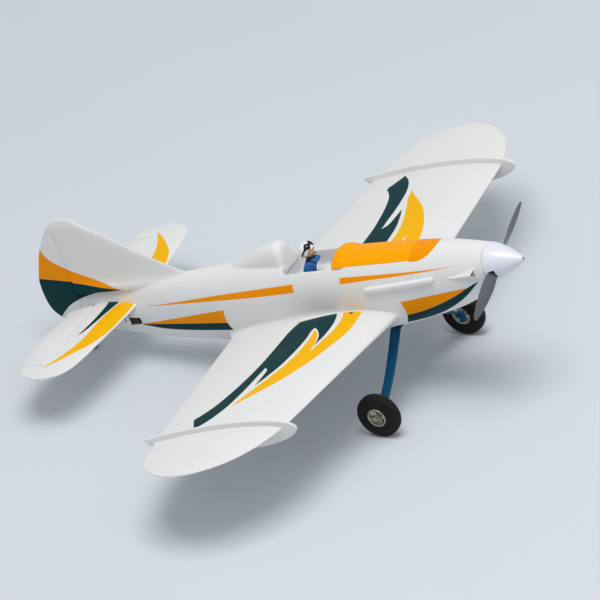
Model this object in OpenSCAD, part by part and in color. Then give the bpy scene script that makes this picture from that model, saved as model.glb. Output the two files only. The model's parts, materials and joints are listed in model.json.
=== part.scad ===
// Foam radio-control aeroplane with a low wing, standing on its two main wheels and tail wheel.
// Lengths are in mm. Stations run aft from the spinner tip, heights are measured from the
// thrust line, and the left side of the aeroplane is +Y.

/* [Body] */
// Station of the widest part of the cabin
cabin_s = 250; // [230:1:270]
// Width of the cabin
cabin_w = 100; // [94:1:112]
// Height of the cabin top
cabin_top = 42.5; // [40:0.5:48]
// Depth of the belly
belly = 89; // [86:1:98]
// Fullness of the cabin section, where 2 is an ellipse
body_fullness = 2.3; // [2.1:0.05:2.7]
// Width of the body at the rudder post
post_w = 16; // [14:1:20]
// Height of the body top at the rudder post
post_top = 9; // [6:1:14]
// Depth of the body at the rudder post
post_bottom = 52; // [51:1:58]
// Step of the chin below the spinner
chin_step = 2; // [1:0.5:5]

/* [Hatch and cockpit] */
// Station of the front edge of the hatch
hatch_front = 181; // [176:1:190]
// Length of the hatch at its sill
hatch_len = 145; // [138:1:150]
// Height of the hatch sill and cockpit rim
sill_z = 31; // [29:0.5:33]
// Rise of the windscreen hump at the rear of the hatch
windscreen_rise = 4.5; // [3:0.5:7]
// Slope of the headrest face, aft run for each unit of height
headrest_rake = 0.4; // [0.4:0.05:0.7]
// Wall of the hatch
hatch_wall = 6; // [4:0.5:8]
// Width of the seat under the ends of the hatch
hatch_lap = 14; // [11:1:18]
// Length of the cockpit tub
tub_len = 94; // [88:1:98]
// Width of the cockpit tub
tub_w = 62; // [54:1:66]
// Height of the cockpit floor
tub_floor = 2; // [-6:1:6]
// Height of the headrest
headrest_top = 67; // [62:1:74]
// Width of the headrest
headrest_w = 44; // [38:1:50]
// Length of the headrest along its base
headrest_len = 114; // [100:1:120]

/* [Wing] */
// Span over the wing tips
wing_span = 984; // [940:1:1060]
// Station of the leading edge at the root
wing_le = 229; // [222:1:236]
// Chord at the root
root_chord = 319; // [305:1:328]
// Height of the leading edge at the root
wing_z = -52; // [-56:0.5:-48]
// Drop of the trailing edge at the root
root_drop = 17; // [10:0.5:20]
// Distance of the fences from the centre
fence_y = 366; // [340:1:390]
// Sweep of the leading edge from root to fence
fence_sweep = 31; // [20:1:45]
// Chord at the fence
fence_chord = 243; // [225:1:260]
// Rise of the leading edge from root to fence
fence_rise = 9; // [4:0.5:14]
// Drop of the trailing edge at the fence
fence_drop = 8; // [4:0.5:14]
// Wing thickness as a share of the chord
wing_thick = 0.105; // [0.095:0.005:0.13]
// Thickness share at the fence, compared with the root
fence_thin = 0.5; // [0.45:0.05:1]
// Wing camber as a share of the chord
wing_camber = 0.02; // [0:0.005:0.03]
// Length of a fence
fence_len = 284; // [272:1:300]
// Rise of a fence above its own centre line
fence_up = 18; // [15:1:26]
// Depth of a fence below its own centre line
fence_down = 33; // [26:1:40]
// Thickness of a fence
fence_t = 5; // [3:0.5:7]
// Diameter of the wing joiner tube
joiner_d = 10; // [8:0.5:12]
// Length of the wing joiner tube
joiner_len = 360; // [300:1:420]

/* [Tail] */
// Height of the tailplane
stab_z = -11; // [-14:0.5:-8]
// Span of the tailplane
stab_span = 440; // [410:1:470]
// Station of the tailplane leading edge at the root
stab_le = 717; // [710:1:722]
// Thickness of the tailplane
stab_t = 9; // [8:0.5:10]
// Chord of the tailplane at the root
stab_chord = 126; // [123:1:130]
// Distance of the elevator hinge behind the tailplane's leading edge
hinge_run = 87; // [84:1:88]
// Distance of the elevator's outer end from the centre
elevator_end = 178; // [166:1:186]
// Station of the fin's leading edge at the body
fin_le = 620; // [604:1:636]
// Height of the fin tip
fin_top = 143; // [137:1:156]
// Thickness of the fin
fin_t = 9; // [8:0.5:11]
// Station of the rudder hinge
rudder_hinge = 832; // [829:0.5:838]
// Widest chord of the rudder behind its hinge
rudder_chord = 64.5; // [60:0.5:70]
// Height of the rudder top
rudder_top = 129; // [122:1:131]
// Height of the rudder bottom
rudder_bottom = -44; // [-45:0.5:-41]
// Radius of the round nose of elevator and rudder
nose_round = 3.6; // [3.2:0.1:4]
// Thickness of the trailing edges
edge_t = 1.8; // [1.2:0.1:2.4]

/* [Power] */
// Diameter of the spinner
spinner_d = 61; // [58:0.5:64]
// Length of the spinner
spinner_len = 56; // [53:1:62]
// Wall of the spinner
spinner_wall = 1.6; // [1.2:0.1:2.2]
// Diameter of the propeller
prop_d = 228; // [200:1:254]
// Widest chord of a propeller blade
blade_chord = 21; // [17:0.5:25]
// Rest angle of the propeller above the left wing
prop_angle = 19; // [0:1:90]
// Diameter of the motor bell
motor_d = 35; // [28:0.5:38]
// Length of the motor bell
bell_len = 26; // [22:0.5:28]
// Diameter of the motor shaft
shaft_d = 5; // [4:0.5:6]
// Length of the battery
battery_len = 104; // [90:1:106]
// Width of the battery
battery_w = 34; // [28:1:38]
// Height of the battery
battery_h = 27; // [22:1:30]
// Height of the equipment bay floor
bay_floor = -30; // [-34:1:-28]
// Thickness of the equipment tray
tray_t = 2.5; // [2:0.5:3]

/* [Undercarriage] */
// Station of the main axles
axle_s = 264; // [260:1:270]
// Depth of the main axles below the thrust line
axle_drop = 168; // [160:1:176]
// Distance between the middles of the main tyres
track = 284; // [270:1:300]
// Diameter of a main tyre
tyre_d = 72; // [66:1:78]
// Width of a main tyre
tyre_w = 22; // [19:0.5:25]
// Diameter of a wheel hub
hub_d = 31; // [29:0.5:35]
// Diameter of a main axle
axle_d = 4; // [3:0.25:4.5]
// Thickness of a gear leg
leg_t = 3; // [2.5:0.25:3.5]
// Width of a gear leg at the body
leg_top_w = 18.5; // [17:0.5:22]
// Width of a gear leg at the axle
leg_foot_w = 16; // [14:0.5:17]
// Diameter of the tail wheel
tail_wheel_d = 23; // [19:0.5:25]
// Width of the tail wheel
tail_wheel_w = 8; // [6:0.5:10]
// Distance of the tail wheel axle behind the rudder hinge
tail_trail = 14; // [12:0.5:18]
// Depth of the tail wheel axle below the thrust line
tail_axle_drop = 80; // [77:1:84]

/* [Controls] */
// Length of a servo case
servo_l = 22.5; // [20:0.5:24]
// Width of a servo case
servo_w = 12; // [11:0.5:12.5]
// Height of a servo case
servo_h = 19; // [17:0.5:20]
// Station of the servo output shafts
servo_s = 740; // [737:1:744]
// Radius from a servo shaft to its arm's hole
arm_r = 13; // [11:0.5:14]
// Radius from a hinge to its horn's hole
horn_r = 13; // [12:0.5:14]
// Diameter of a pushrod
rod_d = 1.6; // [1.4:0.1:2]
// Height of the rudder pushrod
rudder_rod_z = -30; // [-31:0.5:-29]

/* [Pilot] */
// Diameter of the pilot's helmet
helmet_d = 26; // [24:0.5:28]
// Height of the pilot's head
head_z = 49; // [47:0.5:54]
// Width of the pilot's shoulders
shoulder_w = 36; // [32:1:40]

/* [Fits] */
// Clearance round a pin or shaft that turns
turn_clear = 0.1; // [0.05:0.05:0.2]
// Gap between a moving surface and its neighbour
move_gap = 0.6; // [0.5:0.05:0.8]
// Gap round a part that is let into the foam
foam_gap = 0.1; // [0.05:0.05:0.15]
// Gap between spinner and nose
spinner_gap = 1.5; // [1:0.25:2.5]

/* [Hidden] */
$fn = 48;

FOAM = [0.94, 0.94, 0.95];
ORANGE = [0.95, 0.42, 0.06];
BLACK = [0.07, 0.07, 0.08];
STEEL = [0.72, 0.73, 0.75];
BLUE = [0.02, 0.3, 0.5];
GREY = [0.45, 0.46, 0.48];
NYLON = [0.92, 0.92, 0.9];

// Smooth curve through table rows [position, value, value, ...], read at x in column k.
function row_at(t, x, i = 0) = i >= len(t) - 2 || x < t[i + 1][0] ? i : row_at(t, x, i + 1);
function rate(t, i, k) =
    let (a = max(0, i - 1), b = min(len(t) - 1, i + 1))
    (t[b][k] - t[a][k]) / (t[b][0] - t[a][0]);
function curve(t, x, k = 1) =
    let (i = row_at(t, x), h = t[i + 1][0] - t[i][0], u = max(0, min(1, (x - t[i][0]) / h)))
    (2 * u * u * u - 3 * u * u + 1) * t[i][k] + (3 * u * u - 2 * u * u * u) * t[i + 1][k]
    + (u * u * u - 2 * u * u + u) * h * rate(t, i, k) + (u * u * u - u * u) * h * rate(t, i + 1, k);
function ease(u) = let (v = max(0, min(1, u))) v * v * (3 - 2 * v);
function mix(a, b, u) = a + (b - a) * u;

// Solid through rings of points, each ring counter-clockwise seen from the last ring's side.
function cap(n, o) = [for (i = [0:n - 1]) each concat(
    i + 1 < n - 1 - i ? [[o + i, o + i + 1, o + n - 1 - i]] : [],
    i + 1 < n - 2 - i ? [[o + i + 1, o + n - 2 - i, o + n - 1 - i]] : [])];
module loft(rings) {
    n = len(rings[0]);
    last = (len(rings) - 1) * n;
    sides = [for (j = [0:len(rings) - 2], i = [0:n - 1])
        let (a = j * n + i, b = j * n + (i + 1) % n) each [[a, a + n, b], [b, a + n, b + n]]];
    end = [for (f = cap(n, last)) [f[2], f[1], f[0]]];
    polyhedron([for (r = rings) each r], concat(sides, cap(n, 0), end));
}

// Rod of radius r from point a along an axis, exact and round.
module rod_x(r, s0, s1, y = 0, z = 0) {
    translate([-s0, y, z]) rotate([0, -90, 0]) cylinder(r = r, h = s1 - s0);
}
module rod_y(r, y0, y1, s, z) {
    translate([-s, y0, z]) rotate([-90, 0, 0]) cylinder(r = r, h = y1 - y0);
}
module slab(s0, s1, y0, y1, z0, z1) {
    translate([-s1, y0, z0]) cube([s1 - s0, y1 - y0, z1 - z0]);
}
module both_sides() {
    children();
    mirror([0, 1, 0]) children();
}

// Body outline: share of the way, then shares of the change in half width, top and bottom.
nose_s = spinner_len + spinner_gap;
nose_r = spinner_d / 2;
post_s = rudder_hinge - nose_round - move_gap;
NOSE_SHAPE = [[0, 0, 0, 0], [0.16, 0.3, 0.46, 0.34], [0.37, 0.62, 0.83, 0.61], [0.63, 0.85, 0.98, 0.8]];
TAIL_SHAPE = [[0, 0, 0, 0], [0.14, 0, 0, -0.05], [0.27, 0.05, 0.05, -0.09], [0.41, 0.15, 0.18, -0.1],
    [0.55, 0.31, 0.33, -0.07], [0.71, 0.5, 0.57, 0.18], [0.82, 0.64, 0.72, 0.42], [0.9, 0.8, 0.84, 0.67],
    [1, 1, 1, 1]];
BODY = concat(
    [for (n = NOSE_SHAPE) [mix(nose_s, cabin_s, n[0]), mix(nose_r, cabin_w / 2, n[1]),
        mix(nose_r, cabin_top, n[2]), -mix(nose_r + chin_step, belly, n[3])]],
    [for (n = TAIL_SHAPE) [mix(cabin_s, post_s, n[0]), mix(cabin_w / 2, post_w / 2, n[1]),
        mix(cabin_top, post_top, n[2]), -mix(belly, post_bottom, n[3])]]);
function half_w(s) = curve(BODY, s, 1);
function mid_z(s) = (curve(BODY, s, 2) + curve(BODY, s, 3)) / 2;
function half_h(s) = (curve(BODY, s, 2) - curve(BODY, s, 3)) / 2;
function fullness(s) = mix(2, body_fullness, ease((s - nose_s) / (cabin_s - nose_s)) * ease((post_s - s) / 300));
// The upper half narrows like a roof towards the fin.
crest_s = 660;
crest_run = 90;
crest_full = 1.15;
function crest(s) = mix(fullness(s), crest_full, ease((s - crest_s) / crest_run));
function bulge(q, n) = pow(max(0, 1 - pow(min(1, abs(q)), n)), 1 / n);
// Half width of the body at a height, and height of its top and underside at a width.
function side_y(s, z) = let (q = (z - mid_z(s)) / half_h(s)) half_w(s) * bulge(q, q > 0 ? crest(s) : fullness(s));
function under_z(s, y) = mid_z(s) - half_h(s) * bulge(y / half_w(s), fullness(s));
function skin(s, a) = let (e = 2 / (a > 0 ? crest(s) : fullness(s)))
    [-s, half_w(s) * pow(abs(cos(a)), e) * sign(cos(a)),
        mid_z(s) + half_h(s) * pow(abs(sin(a)), e) * sign(sin(a))];
BODY_RINGS = 28;
RING_STEPS = 16;
function body_ring(s) = [for (k = [0:RING_STEPS])
    let (p = skin(s, 90 - 180 * k / RING_STEPS)) [p[0], k == 0 || k == RING_STEPS ? 0 : p[1], p[2]]];
module body_half() {
    loft([for (k = [0:BODY_RINGS]) body_ring(mix(nose_s, post_s, pow(k / BODY_RINGS, 1.25)))]);
}

// Aerofoil sections: thickness and camber as shares of the chord, flat trailing edge.
FOIL_STEPS = 9;
function foil_t(t) = 5 * (0.2969 * sqrt(t) - 0.126 * t - 0.3516 * t * t + 0.2843 * pow(t, 3) - 0.1015 * pow(t, 4));
// Ring in the x-z plane from the upper trailing edge round the nose to the lower trailing edge.
// le and te are [station, height], thick is in mm.
function foil(y, le, te, thick, camber) = let (c = te[0] - le[0]) [for (k = [-FOIL_STEPS:FOIL_STEPS])
    let (t = (1 - cos(180 * k / FOIL_STEPS)) / 2, up = k < 0 ? 1 : -1,
        z = mix(le[1], te[1], t) + 4 * camber * c * t * (1 - t) + up * (foil_t(t) * thick + edge_t / 2 * t))
    [-mix(le[0], te[0], t), y, z]];

// Wing outline: straight from root to fence, then a raked tip given as shares of the fence chord.
root_y = cabin_w / 2;
tip_y = wing_span / 2;
fence_le = wing_le + fence_sweep;
TIP_SHAPE = [[0, 0, 0], [0.16, 0.029, 0.032], [0.3, 0.055, 0.045], [0.45, 0.092, 0.065], [0.6, 0.141, 0.1],
    [0.73, 0.2, 0.152], [0.84, 0.268, 0.225], [0.918, 0.34, 0.292], [0.965, 0.396, 0.36], [0.99, 0.441, 0.426],
    [1, 0.494, 0.5]];
function out_share(y) = (y - root_y) / (fence_y - root_y);
function tip_share(y) = max(0, (y - fence_y) / (tip_y - fence_y));
function le_s(y) = mix(wing_le, fence_le, min(1, out_share(y))) + fence_chord * curve(TIP_SHAPE, tip_share(y), 1);
function te_s(y) = mix(wing_le + root_chord, fence_le + fence_chord, min(1, out_share(y)))
    - fence_chord * curve(TIP_SHAPE, tip_share(y), 2);
function le_z(y) = wing_z + fence_rise * out_share(y);
function te_z(y) = le_z(y) - mix(root_drop, fence_drop, min(1, out_share(y))) * (1 - tip_share(y) * 0.8);
function wing_t(y) = wing_thick * mix(1, fence_thin, min(1, out_share(y))) * (te_s(y) - le_s(y));
function wing_ring(y) = foil(y, [le_s(y), le_z(y)], [te_s(y), te_z(y)], wing_t(y), wing_camber);
// Height of the chord line and of the upper surface at a station.
function chord_z(s, y) = mix(le_z(y), te_z(y), (s - le_s(y)) / (te_s(y) - le_s(y)));
function wing_top(s, y) = let (c = te_s(y) - le_s(y), t = (s - le_s(y)) / c)
    chord_z(s, y) + 4 * wing_camber * c * t * (1 - t) + foil_t(t) * wing_t(y) + edge_t / 2 * t;

// Wing joiner tube and the screws that lock the panels to it.
JOINER_AT = 0.236;
joiner_s = wing_le + JOINER_AT * root_chord;
joiner_z = chord_z(joiner_s, root_y) + wing_camber * root_chord * 0.72 + 1;
joiner_wall = 1;
screw_y = root_y + 7;
screw_r = 1.5;
screw_head_r = 2.7;
screw_head_h = 2;
screw_sink = 0.6;
screw_top = wing_top(joiner_s, screw_y) - screw_sink;
screw_tip = joiner_z + joiner_d / 2 - joiner_wall - 1;
module wing_cuts() {
    rod_y(joiner_d / 2 + foam_gap, 0, joiner_len / 2 + foam_gap, joiner_s, joiner_z);
    translate([-joiner_s, screw_y, joiner_z]) cylinder(r = screw_r + foam_gap, h = screw_top - joiner_z);
    translate([-joiner_s, screw_y, screw_top - screw_head_h]) cylinder(r = screw_head_r + foam_gap, h = 20);
}
module wing_panel() {
    difference() {
        loft([wing_ring(root_y), wing_ring(fence_y - fence_t / 2)]);
        wing_cuts();
    }
}
TIP_RINGS = [0, 0.08, 0.16, 0.3, 0.45, 0.6, 0.73, 0.84, 0.91, 0.95, 0.975, 0.99, 0.998];
module wing_tip() {
    loft([for (t = TIP_RINGS) wing_ring(mix(fence_y + fence_t / 2, tip_y, t))]);
}
// Leaf outline: a half ellipse below, and above it a rise that is steep in front and slackens aft.
FENCE_STEPS = 48;
FENCE_PEAK = 0.385;
fence_fore = 3;
fence_lift = 3;
fence_mid_s = fence_le + fence_chord / 2 - fence_fore;
fence_mid_z = (le_z(fence_y) + te_z(fence_y)) / 2 + fence_lift;
function fence_x(a) = fence_len / 2 * cos(a);
function fence_rim(a) = fence_up * sin(a / 2) * pow(cos(a / 2), 2) / FENCE_PEAK;
module fence() {
    upper = [for (k = [0:FENCE_STEPS]) let (a = 180 * k / FENCE_STEPS) [fence_x(a), fence_rim(a)]];
    lower = [for (k = [FENCE_STEPS - 1:-1:1]) let (a = 180 * k / FENCE_STEPS) [fence_x(a), -fence_down * sin(a)]];
    translate([-fence_mid_s, fence_y + fence_t / 2, fence_mid_z]) rotate([90, 0, 0])
        linear_extrude(fence_t) polygon(concat(upper, lower));
}

// Wing fairing: the root section swells towards the body, so it blends into the side.
FAIRING_STEPS = [[0, 0], [2, 0.15], [4, 0.5], [6, 1], [10, 1.6], [16, 2.2], [26, 2.8]];
fairing_fore = 10;
fairing_aft = 14;
fairing_up = 7;
function fairing_ring(d, f) = foil(root_y - d,
    [wing_le - fairing_fore * f, wing_z], [wing_le + root_chord + fairing_aft * f, wing_z - root_drop],
    wing_thick * root_chord + fairing_up * 2 * f, wing_camber);
module wing_fairing() {
    loft([for (i = [len(FAIRING_STEPS) - 1:-1:0]) fairing_ring(FAIRING_STEPS[i][0], FAIRING_STEPS[i][1])]);
}

// Fin outline: share of its height, then share of the leading edge's aft run. Rudder outline: share of
// its height, then share of its chord. Fin tip: drop from the top, then run ahead of the hinge.
fin_root_z = 28;
fin_run = 183;
FIN_SHAPE = [[0, 0], [0.09, 0.08], [0.3, 0.29], [0.52, 0.503], [0.71, 0.67], [0.82, 0.786], [0.9, 0.858],
    [0.96, 0.908], [0.988, 0.95], [1, 1]];
function fin_le_at(z) = fin_le + fin_run * curve(FIN_SHAPE, (z - fin_root_z) / (fin_top - fin_root_z));
RUDDER_SHAPE = [[-0.01, 0.49], [0.08, 0.73], [0.15, 0.885], [0.24, 0.955], [0.35, 0.965], [0.42, 0.95],
    [0.475, 0.92], [0.545, 0.847], [0.627, 0.75], [0.7, 0.655], [0.766, 0.556], [0.828, 0.445], [0.9, 0.3],
    [0.97, 0.14], [1, 0.06]];
FIN_TIP = [[5, 8.5], [1.5, 16], [0, 25]];
rudder_edge = concat(
    [for (r = RUDDER_SHAPE) [mix(rudder_bottom, rudder_top, r[0]), rudder_hinge + rudder_chord * r[1]]],
    [for (r = FIN_TIP) [fin_top - r[0], rudder_hinge - r[1]]]);
function fin_te_at(z) = curve(rudder_edge, z);
FIN_SIDE = [[0, 0], [0.06, 0.5], [0.18, 0.8], [0.4, 1], [0.7, 0.86], [1, 0.5]];
function fin_flare(z) = exp(-max(0, z - fin_root_z + 8) / 9) * 7;
function fin_half_t(z) = fin_t / 2 * mix(1, 0.72, max(0, z - fin_root_z) / (fin_top - fin_root_z));
function fin_round(z) = z > rudder_top ? sqrt((fin_top + 1 - z) / (fin_top + 1 - rudder_top)) : 1;
function fin_ring(z) = let (le = fin_le_at(max(z, fin_root_z)) - fin_flare(z) * 2.5, te = fin_te_at(z))
    concat([[-le, 0, z]],
        [for (k = [1:len(FIN_SIDE) - 1]) [-mix(le, te, FIN_SIDE[k][0]),
            (fin_half_t(z) * fin_round(z) + fin_flare(z)) * FIN_SIDE[k][1], z]],
        [[-te, 0, z]]);
FIN_LEVELS = [-0.14, 0.02, 0.08, 0.16, 0.3, 0.5, 0.7, 0.83, 0.9, 0.94, 0.965, 0.98, 0.99, 1];
module fin_half() {
    difference() {
        loft([for (u = FIN_LEVELS) fin_ring(mix(fin_root_z, fin_top, u))]);
        slab(post_s, rudder_hinge + 2 * rudder_chord, -1, cabin_w, -belly, rudder_top + move_gap);
    }
}

// Stance: the ground line touches the main tyres and the tail wheel.
tail_axle_s = rudder_hinge + tail_trail;
axle_run = tail_axle_s - axle_s;
axle_fall = axle_drop - tail_axle_drop;
pitch = atan2(axle_fall, axle_run) + asin((tyre_d - tail_wheel_d) / 2 / norm([axle_run, axle_fall]));
ground_z = axle_drop * cos(pitch) + axle_s * sin(pitch) + tyre_d / 2;
tail_end = max([for (p = rudder_edge) p[1] * cos(pitch) + p[0] * sin(pitch)]);
stance_x = tail_end / 2;

module stance() {
    translate([stance_x, 0, ground_z]) rotate([0, -pitch, 0]) children();
}

// Headrest: arched rings from the raked front face to the spine.
HEADREST_RINGS = 8;
HEADREST_STEPS = 12;
headrest_base = sill_z - 6;
headrest_s = hatch_front + hatch_len + tub_len - 2;
function headrest_ring(t) = let (top = mix(headrest_top, curve(BODY, headrest_s + headrest_len, 2) - 2, pow(t, 1.5)),
        w = headrest_w / 2 * mix(1, 0.45, pow(t, 1.3)))
    [for (k = [0:HEADREST_STEPS])
        let (a = 180 * k / HEADREST_STEPS, z = mix(headrest_base, top, sin(a)),
            front = headrest_s + (z - sill_z) * headrest_rake)
        [-mix(front, headrest_s + headrest_len, t), -w * cos(a), z]];
module headrest() {
    loft([for (k = [0:HEADREST_RINGS]) headrest_ring(k / HEADREST_RINGS)]);
}

// Hatch: the upper body skin between its ends, with a hump at the raked rear end.
hatch_end = hatch_front + hatch_len;
hatch_gap = 0.4;
HATCH_SHARES = [0, 0.12, 0.25, 0.4, 0.55, 0.68, 0.76, 0.8, 0.84, 0.88, 0.92, 0.95, 0.965, 0.98, 0.99, 1];
HATCH_STEPS = 16;
hump_len = 30;
function hump(s) = windscreen_rise * ease((s - hatch_end + hump_len) / (hump_len - 12));
// Rounded rear edge: share of the full section left at a station.
hatch_round = 7;
function hatch_fall(s) = let (u = max(0, (s - hatch_end + hatch_round) / hatch_round)) hatch_round * 0.6 * (1 - sqrt(1 - u * u * 0.98));
// Ring at a share t of the length, starting at height z0.
function hatch_ring(t, z0) = [for (k = [0:HATCH_STEPS])
    let (s = mix(hatch_front + hatch_gap, hatch_end - hatch_gap, t), top = mid_z(s) + half_h(s),
        rise = (top + hump(s) - hatch_fall(s) - mid_z(s)) / half_h(s),
        start = asin(pow((z0 - mid_z(s)) / (half_h(s) * rise), fullness(s) / 2)),
        a = mix(start, 180 - start, k / HATCH_STEPS), e = 2 / fullness(s),
        z = mid_z(s) + half_h(s) * rise * pow(sin(a), e),
        y = -(half_w(s) - hatch_fall(s) / 2) * pow(abs(cos(a)), e) * sign(cos(a)))
    [-s, y, z]];
hatch_z = sill_z + hatch_gap;
magnet_r = 3;
magnet_t = 2;
magnet_y = 12;
magnet_at = [hatch_front + hatch_lap / 2, hatch_end - hatch_lap / 2];
module magnets(z, gap = 0) {
    for (s = magnet_at, y = [-magnet_y, magnet_y])
        translate([-s, y, z - gap]) cylinder(r = magnet_r + gap, h = magnet_t + 2 * gap);
}

// Equipment bay and the pieces in it, front to back along the tray.
fire_s = nose_s + 46;
fire_t = 10;
bay_s = fire_s + fire_t;
bay_end = hatch_end - hatch_lap;
bay_front_w = 52;
bay_rear_w = 64;
bay_front_top = 14;
access_w = 56;
tray_w = 46;
tray_s = bay_s + 2;
tray_top = bay_floor + tray_t;
esc_l = 44;
esc_w = 24;
esc_h = 9;
receiver_l = 22;
receiver_w = 35;
receiver_h = 13;
strap_w = 20;
strap_t = 1.2;
esc_s = tray_s + 4;
receiver_s = esc_s + esc_l + 4;
battery_s = hatch_front + hatch_lap + 5;

// Motor and propeller stations along the thrust line.
mount_t = 4;
mount_r = motor_d / 2 + 7;
mount_s = fire_s - mount_t;
stator_base_t = 3;
bell_s = mount_s - stator_base_t - bell_len - 1;
bell_wall = 1.5;
plate_t = 4;
plate_s = spinner_len - plate_t;
hub_t = 10;
hub_s = plate_s - hub_t;
prop_hub_r = 8;
nut_t = 6;
nut_s = hub_s - nut_t;
shaft_front = nut_s - 4;
shaft_hole_r = 9;
SPIN_STEPS = 12;
spin_tip_r = 4;
function spin_r(t) = t == 0 ? spin_tip_r * 0.75 : mix(spin_tip_r, nose_r, 0.4 * t + 0.6 * sin(90 * t));

// Tailplane outline by distance from the centre: leading and trailing edge stations.
stab_tip = stab_span / 2;
STAB_SHAPE = [[0, 0, -0.01], [0.2, 0.024, 0], [0.4, 0.066, 0.055], [0.6, 0.11, 0.052], [0.775, 0.157, 0.01],
    [0.89, 0.225, -0.075], [0.96, 0.345, -0.22], [1, 0.54, -0.42]];
elevator_hinge = stab_le + hinge_run;
function stab_le_at(y) = stab_le + stab_chord * curve(STAB_SHAPE, y / stab_tip, 1);
function stab_te_at(y) = stab_le + stab_chord + stab_chord * curve(STAB_SHAPE, y / stab_tip, 2);
STAB_RINGS = [-1, -0.97, -0.92, -0.86, -0.8, -0.7, -0.5, -0.2, 0, 0.2, 0.5, 0.7, 0.8, 0.86, 0.92, 0.97, 1];
function stab_ring(u, gap) = let (y = abs(u) * stab_tip * 0.995, le = stab_le_at(y), te = stab_te_at(y))
    foil(u * stab_tip * 0.995, [le - gap, stab_z], [te, stab_z],
        stab_t * mix(1, 0.55, pow(abs(u), 6)) + 2 * gap, 0);
module stab_surface(gap = 0) {
    loft([for (u = STAB_RINGS) stab_ring(u, gap)]);
}
elevator_front = elevator_hinge - nose_round - move_gap;
module elevator_room() {
    slab(elevator_front, elevator_hinge + 80, -elevator_end - 1, elevator_end + 1, stab_z - 20, stab_z + 20);
}

// Pin hinges: a leaf let into the fixed surface, with a knuckle in a notch of the moving one.
hinge_w = 6;
hinge_reach = 9;
leaf_t = 1;
knuckle_r = 1.9;
pin_r = 0.75;
pin_len = 14;
notch_w = hinge_w + 1.2;
notch_depth = knuckle_r + 0.8;
elevator_hinge_y = [45, 135];
rudder_hinge_z = [108, 45];

// Elevator outline.
elevator_in = post_w / 2 + 6;
elevator_in_edge = elevator_in + 9;
ELEVATOR_RINGS = 8;
module elevator_half() {
    difference() {
        union() {
            rod_y(nose_round, elevator_in, elevator_end, elevator_hinge, stab_z);
            loft([for (k = [0:ELEVATOR_RINGS])
                let (y0 = mix(elevator_in, elevator_end, k / ELEVATOR_RINGS),
                    y1 = mix(elevator_in_edge, elevator_end, k / ELEVATOR_RINGS), te = stab_te_at(y1))
                [[-te, y1, stab_z - edge_t / 2], [-te, y1, stab_z + edge_t / 2],
                    [-elevator_hinge, y0, stab_z + nose_round], [-elevator_hinge, y0, stab_z - nose_round]]]);
        }
        for (y = elevator_hinge_y) {
            slab(elevator_hinge - 10, elevator_hinge + notch_depth, y - notch_w / 2, y + notch_w / 2,
                stab_z - 10, stab_z + 10);
            rod_y(pin_r, y - pin_len / 2, y + pin_len / 2, elevator_hinge, stab_z);
        }
        rod_y(joiner_rod_r, elevator_in - 1, elevator_in + joiner_rod_in, elevator_hinge, stab_z);
    }
}
joiner_rod_r = 1.5;
joiner_rod_in = 18;

// Servos, arms, pushrods and horns.
link_y = half_w(servo_s) + 7;
elevator_rod_z = stab_z - horn_r;
servo_face = link_y - 6;
shaft_inset = 6;
ear_l = 5;
ear_t = 2.2;
ear_drop = 4.5;
arm_t = 1.6;
arm_hub_r = 3.4;
spline_r = 2.2;
shaft_boss_r = 5.4;
shaft_boss_t = 1.6;
arm_tip_r = 2.2;
arm_hole_r = rod_d / 2 + turn_clear;
arm_y = link_y - 3.2;
horn_t = 1.6;
fork_gap = 0.4;
rudder_swing = 25;
rudder_fork_gap = fork_gap + arm_r * (1 - cos(rudder_swing));
fork_t = 1;
rudder_horn_y = horn_r + 1;
// Servo on the left side, with its shaft pointing out at height z.
module servo_case(z, gap = 0) {
    slab(servo_s + shaft_inset - servo_l - gap, servo_s + shaft_inset + gap, servo_face - servo_h - gap, servo_face + gap,
        z - servo_w / 2 - gap, z + servo_w / 2 + gap);
    slab(servo_s + shaft_inset - servo_l - ear_l - gap, servo_s + shaft_inset + ear_l + gap,
        servo_face - ear_drop - ear_t - gap, servo_face - ear_drop + gap, z - servo_w / 2 - gap, z + servo_w / 2 + gap);
}
module servo_pocket(z) {
    servo_case(z, foam_gap);
    slab(servo_s + shaft_inset - servo_l - ear_l - foam_gap, servo_s + shaft_inset + ear_l + foam_gap,
        servo_face - ear_drop - foam_gap, servo_face + 20, z - servo_w / 2 - foam_gap, z + servo_w / 2 + foam_gap);
}
module servo(z) {
    servo_case(z);
    rod_y(shaft_boss_r, servo_face - 1, servo_face + shaft_boss_t, servo_s, z);
    rod_y(spline_r, servo_face, arm_y + arm_t, servo_s, z);
}
// Servo arm pointing up from its shaft.
module servo_arm(z) {
    difference() {
        union() {
            rod_y(arm_hub_r, arm_y, arm_y + arm_t + 1.2, servo_s, z);
            translate([-servo_s, arm_y + arm_t, z]) rotate([90, 0, 0]) linear_extrude(arm_t)
                polygon([[-arm_hub_r, 0], [arm_hub_r, 0], [arm_tip_r, arm_r], [-arm_tip_r, arm_r]]);
            rod_y(arm_tip_r, arm_y, arm_y + arm_t, servo_s, z + arm_r);
        }
        rod_y(spline_r + turn_clear, arm_y - 1, arm_y + arm_t + turn_clear, servo_s, z);
        rod_y(arm_hole_r, arm_y - 1, arm_y + 5, servo_s, z + arm_r);
    }
}
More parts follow.
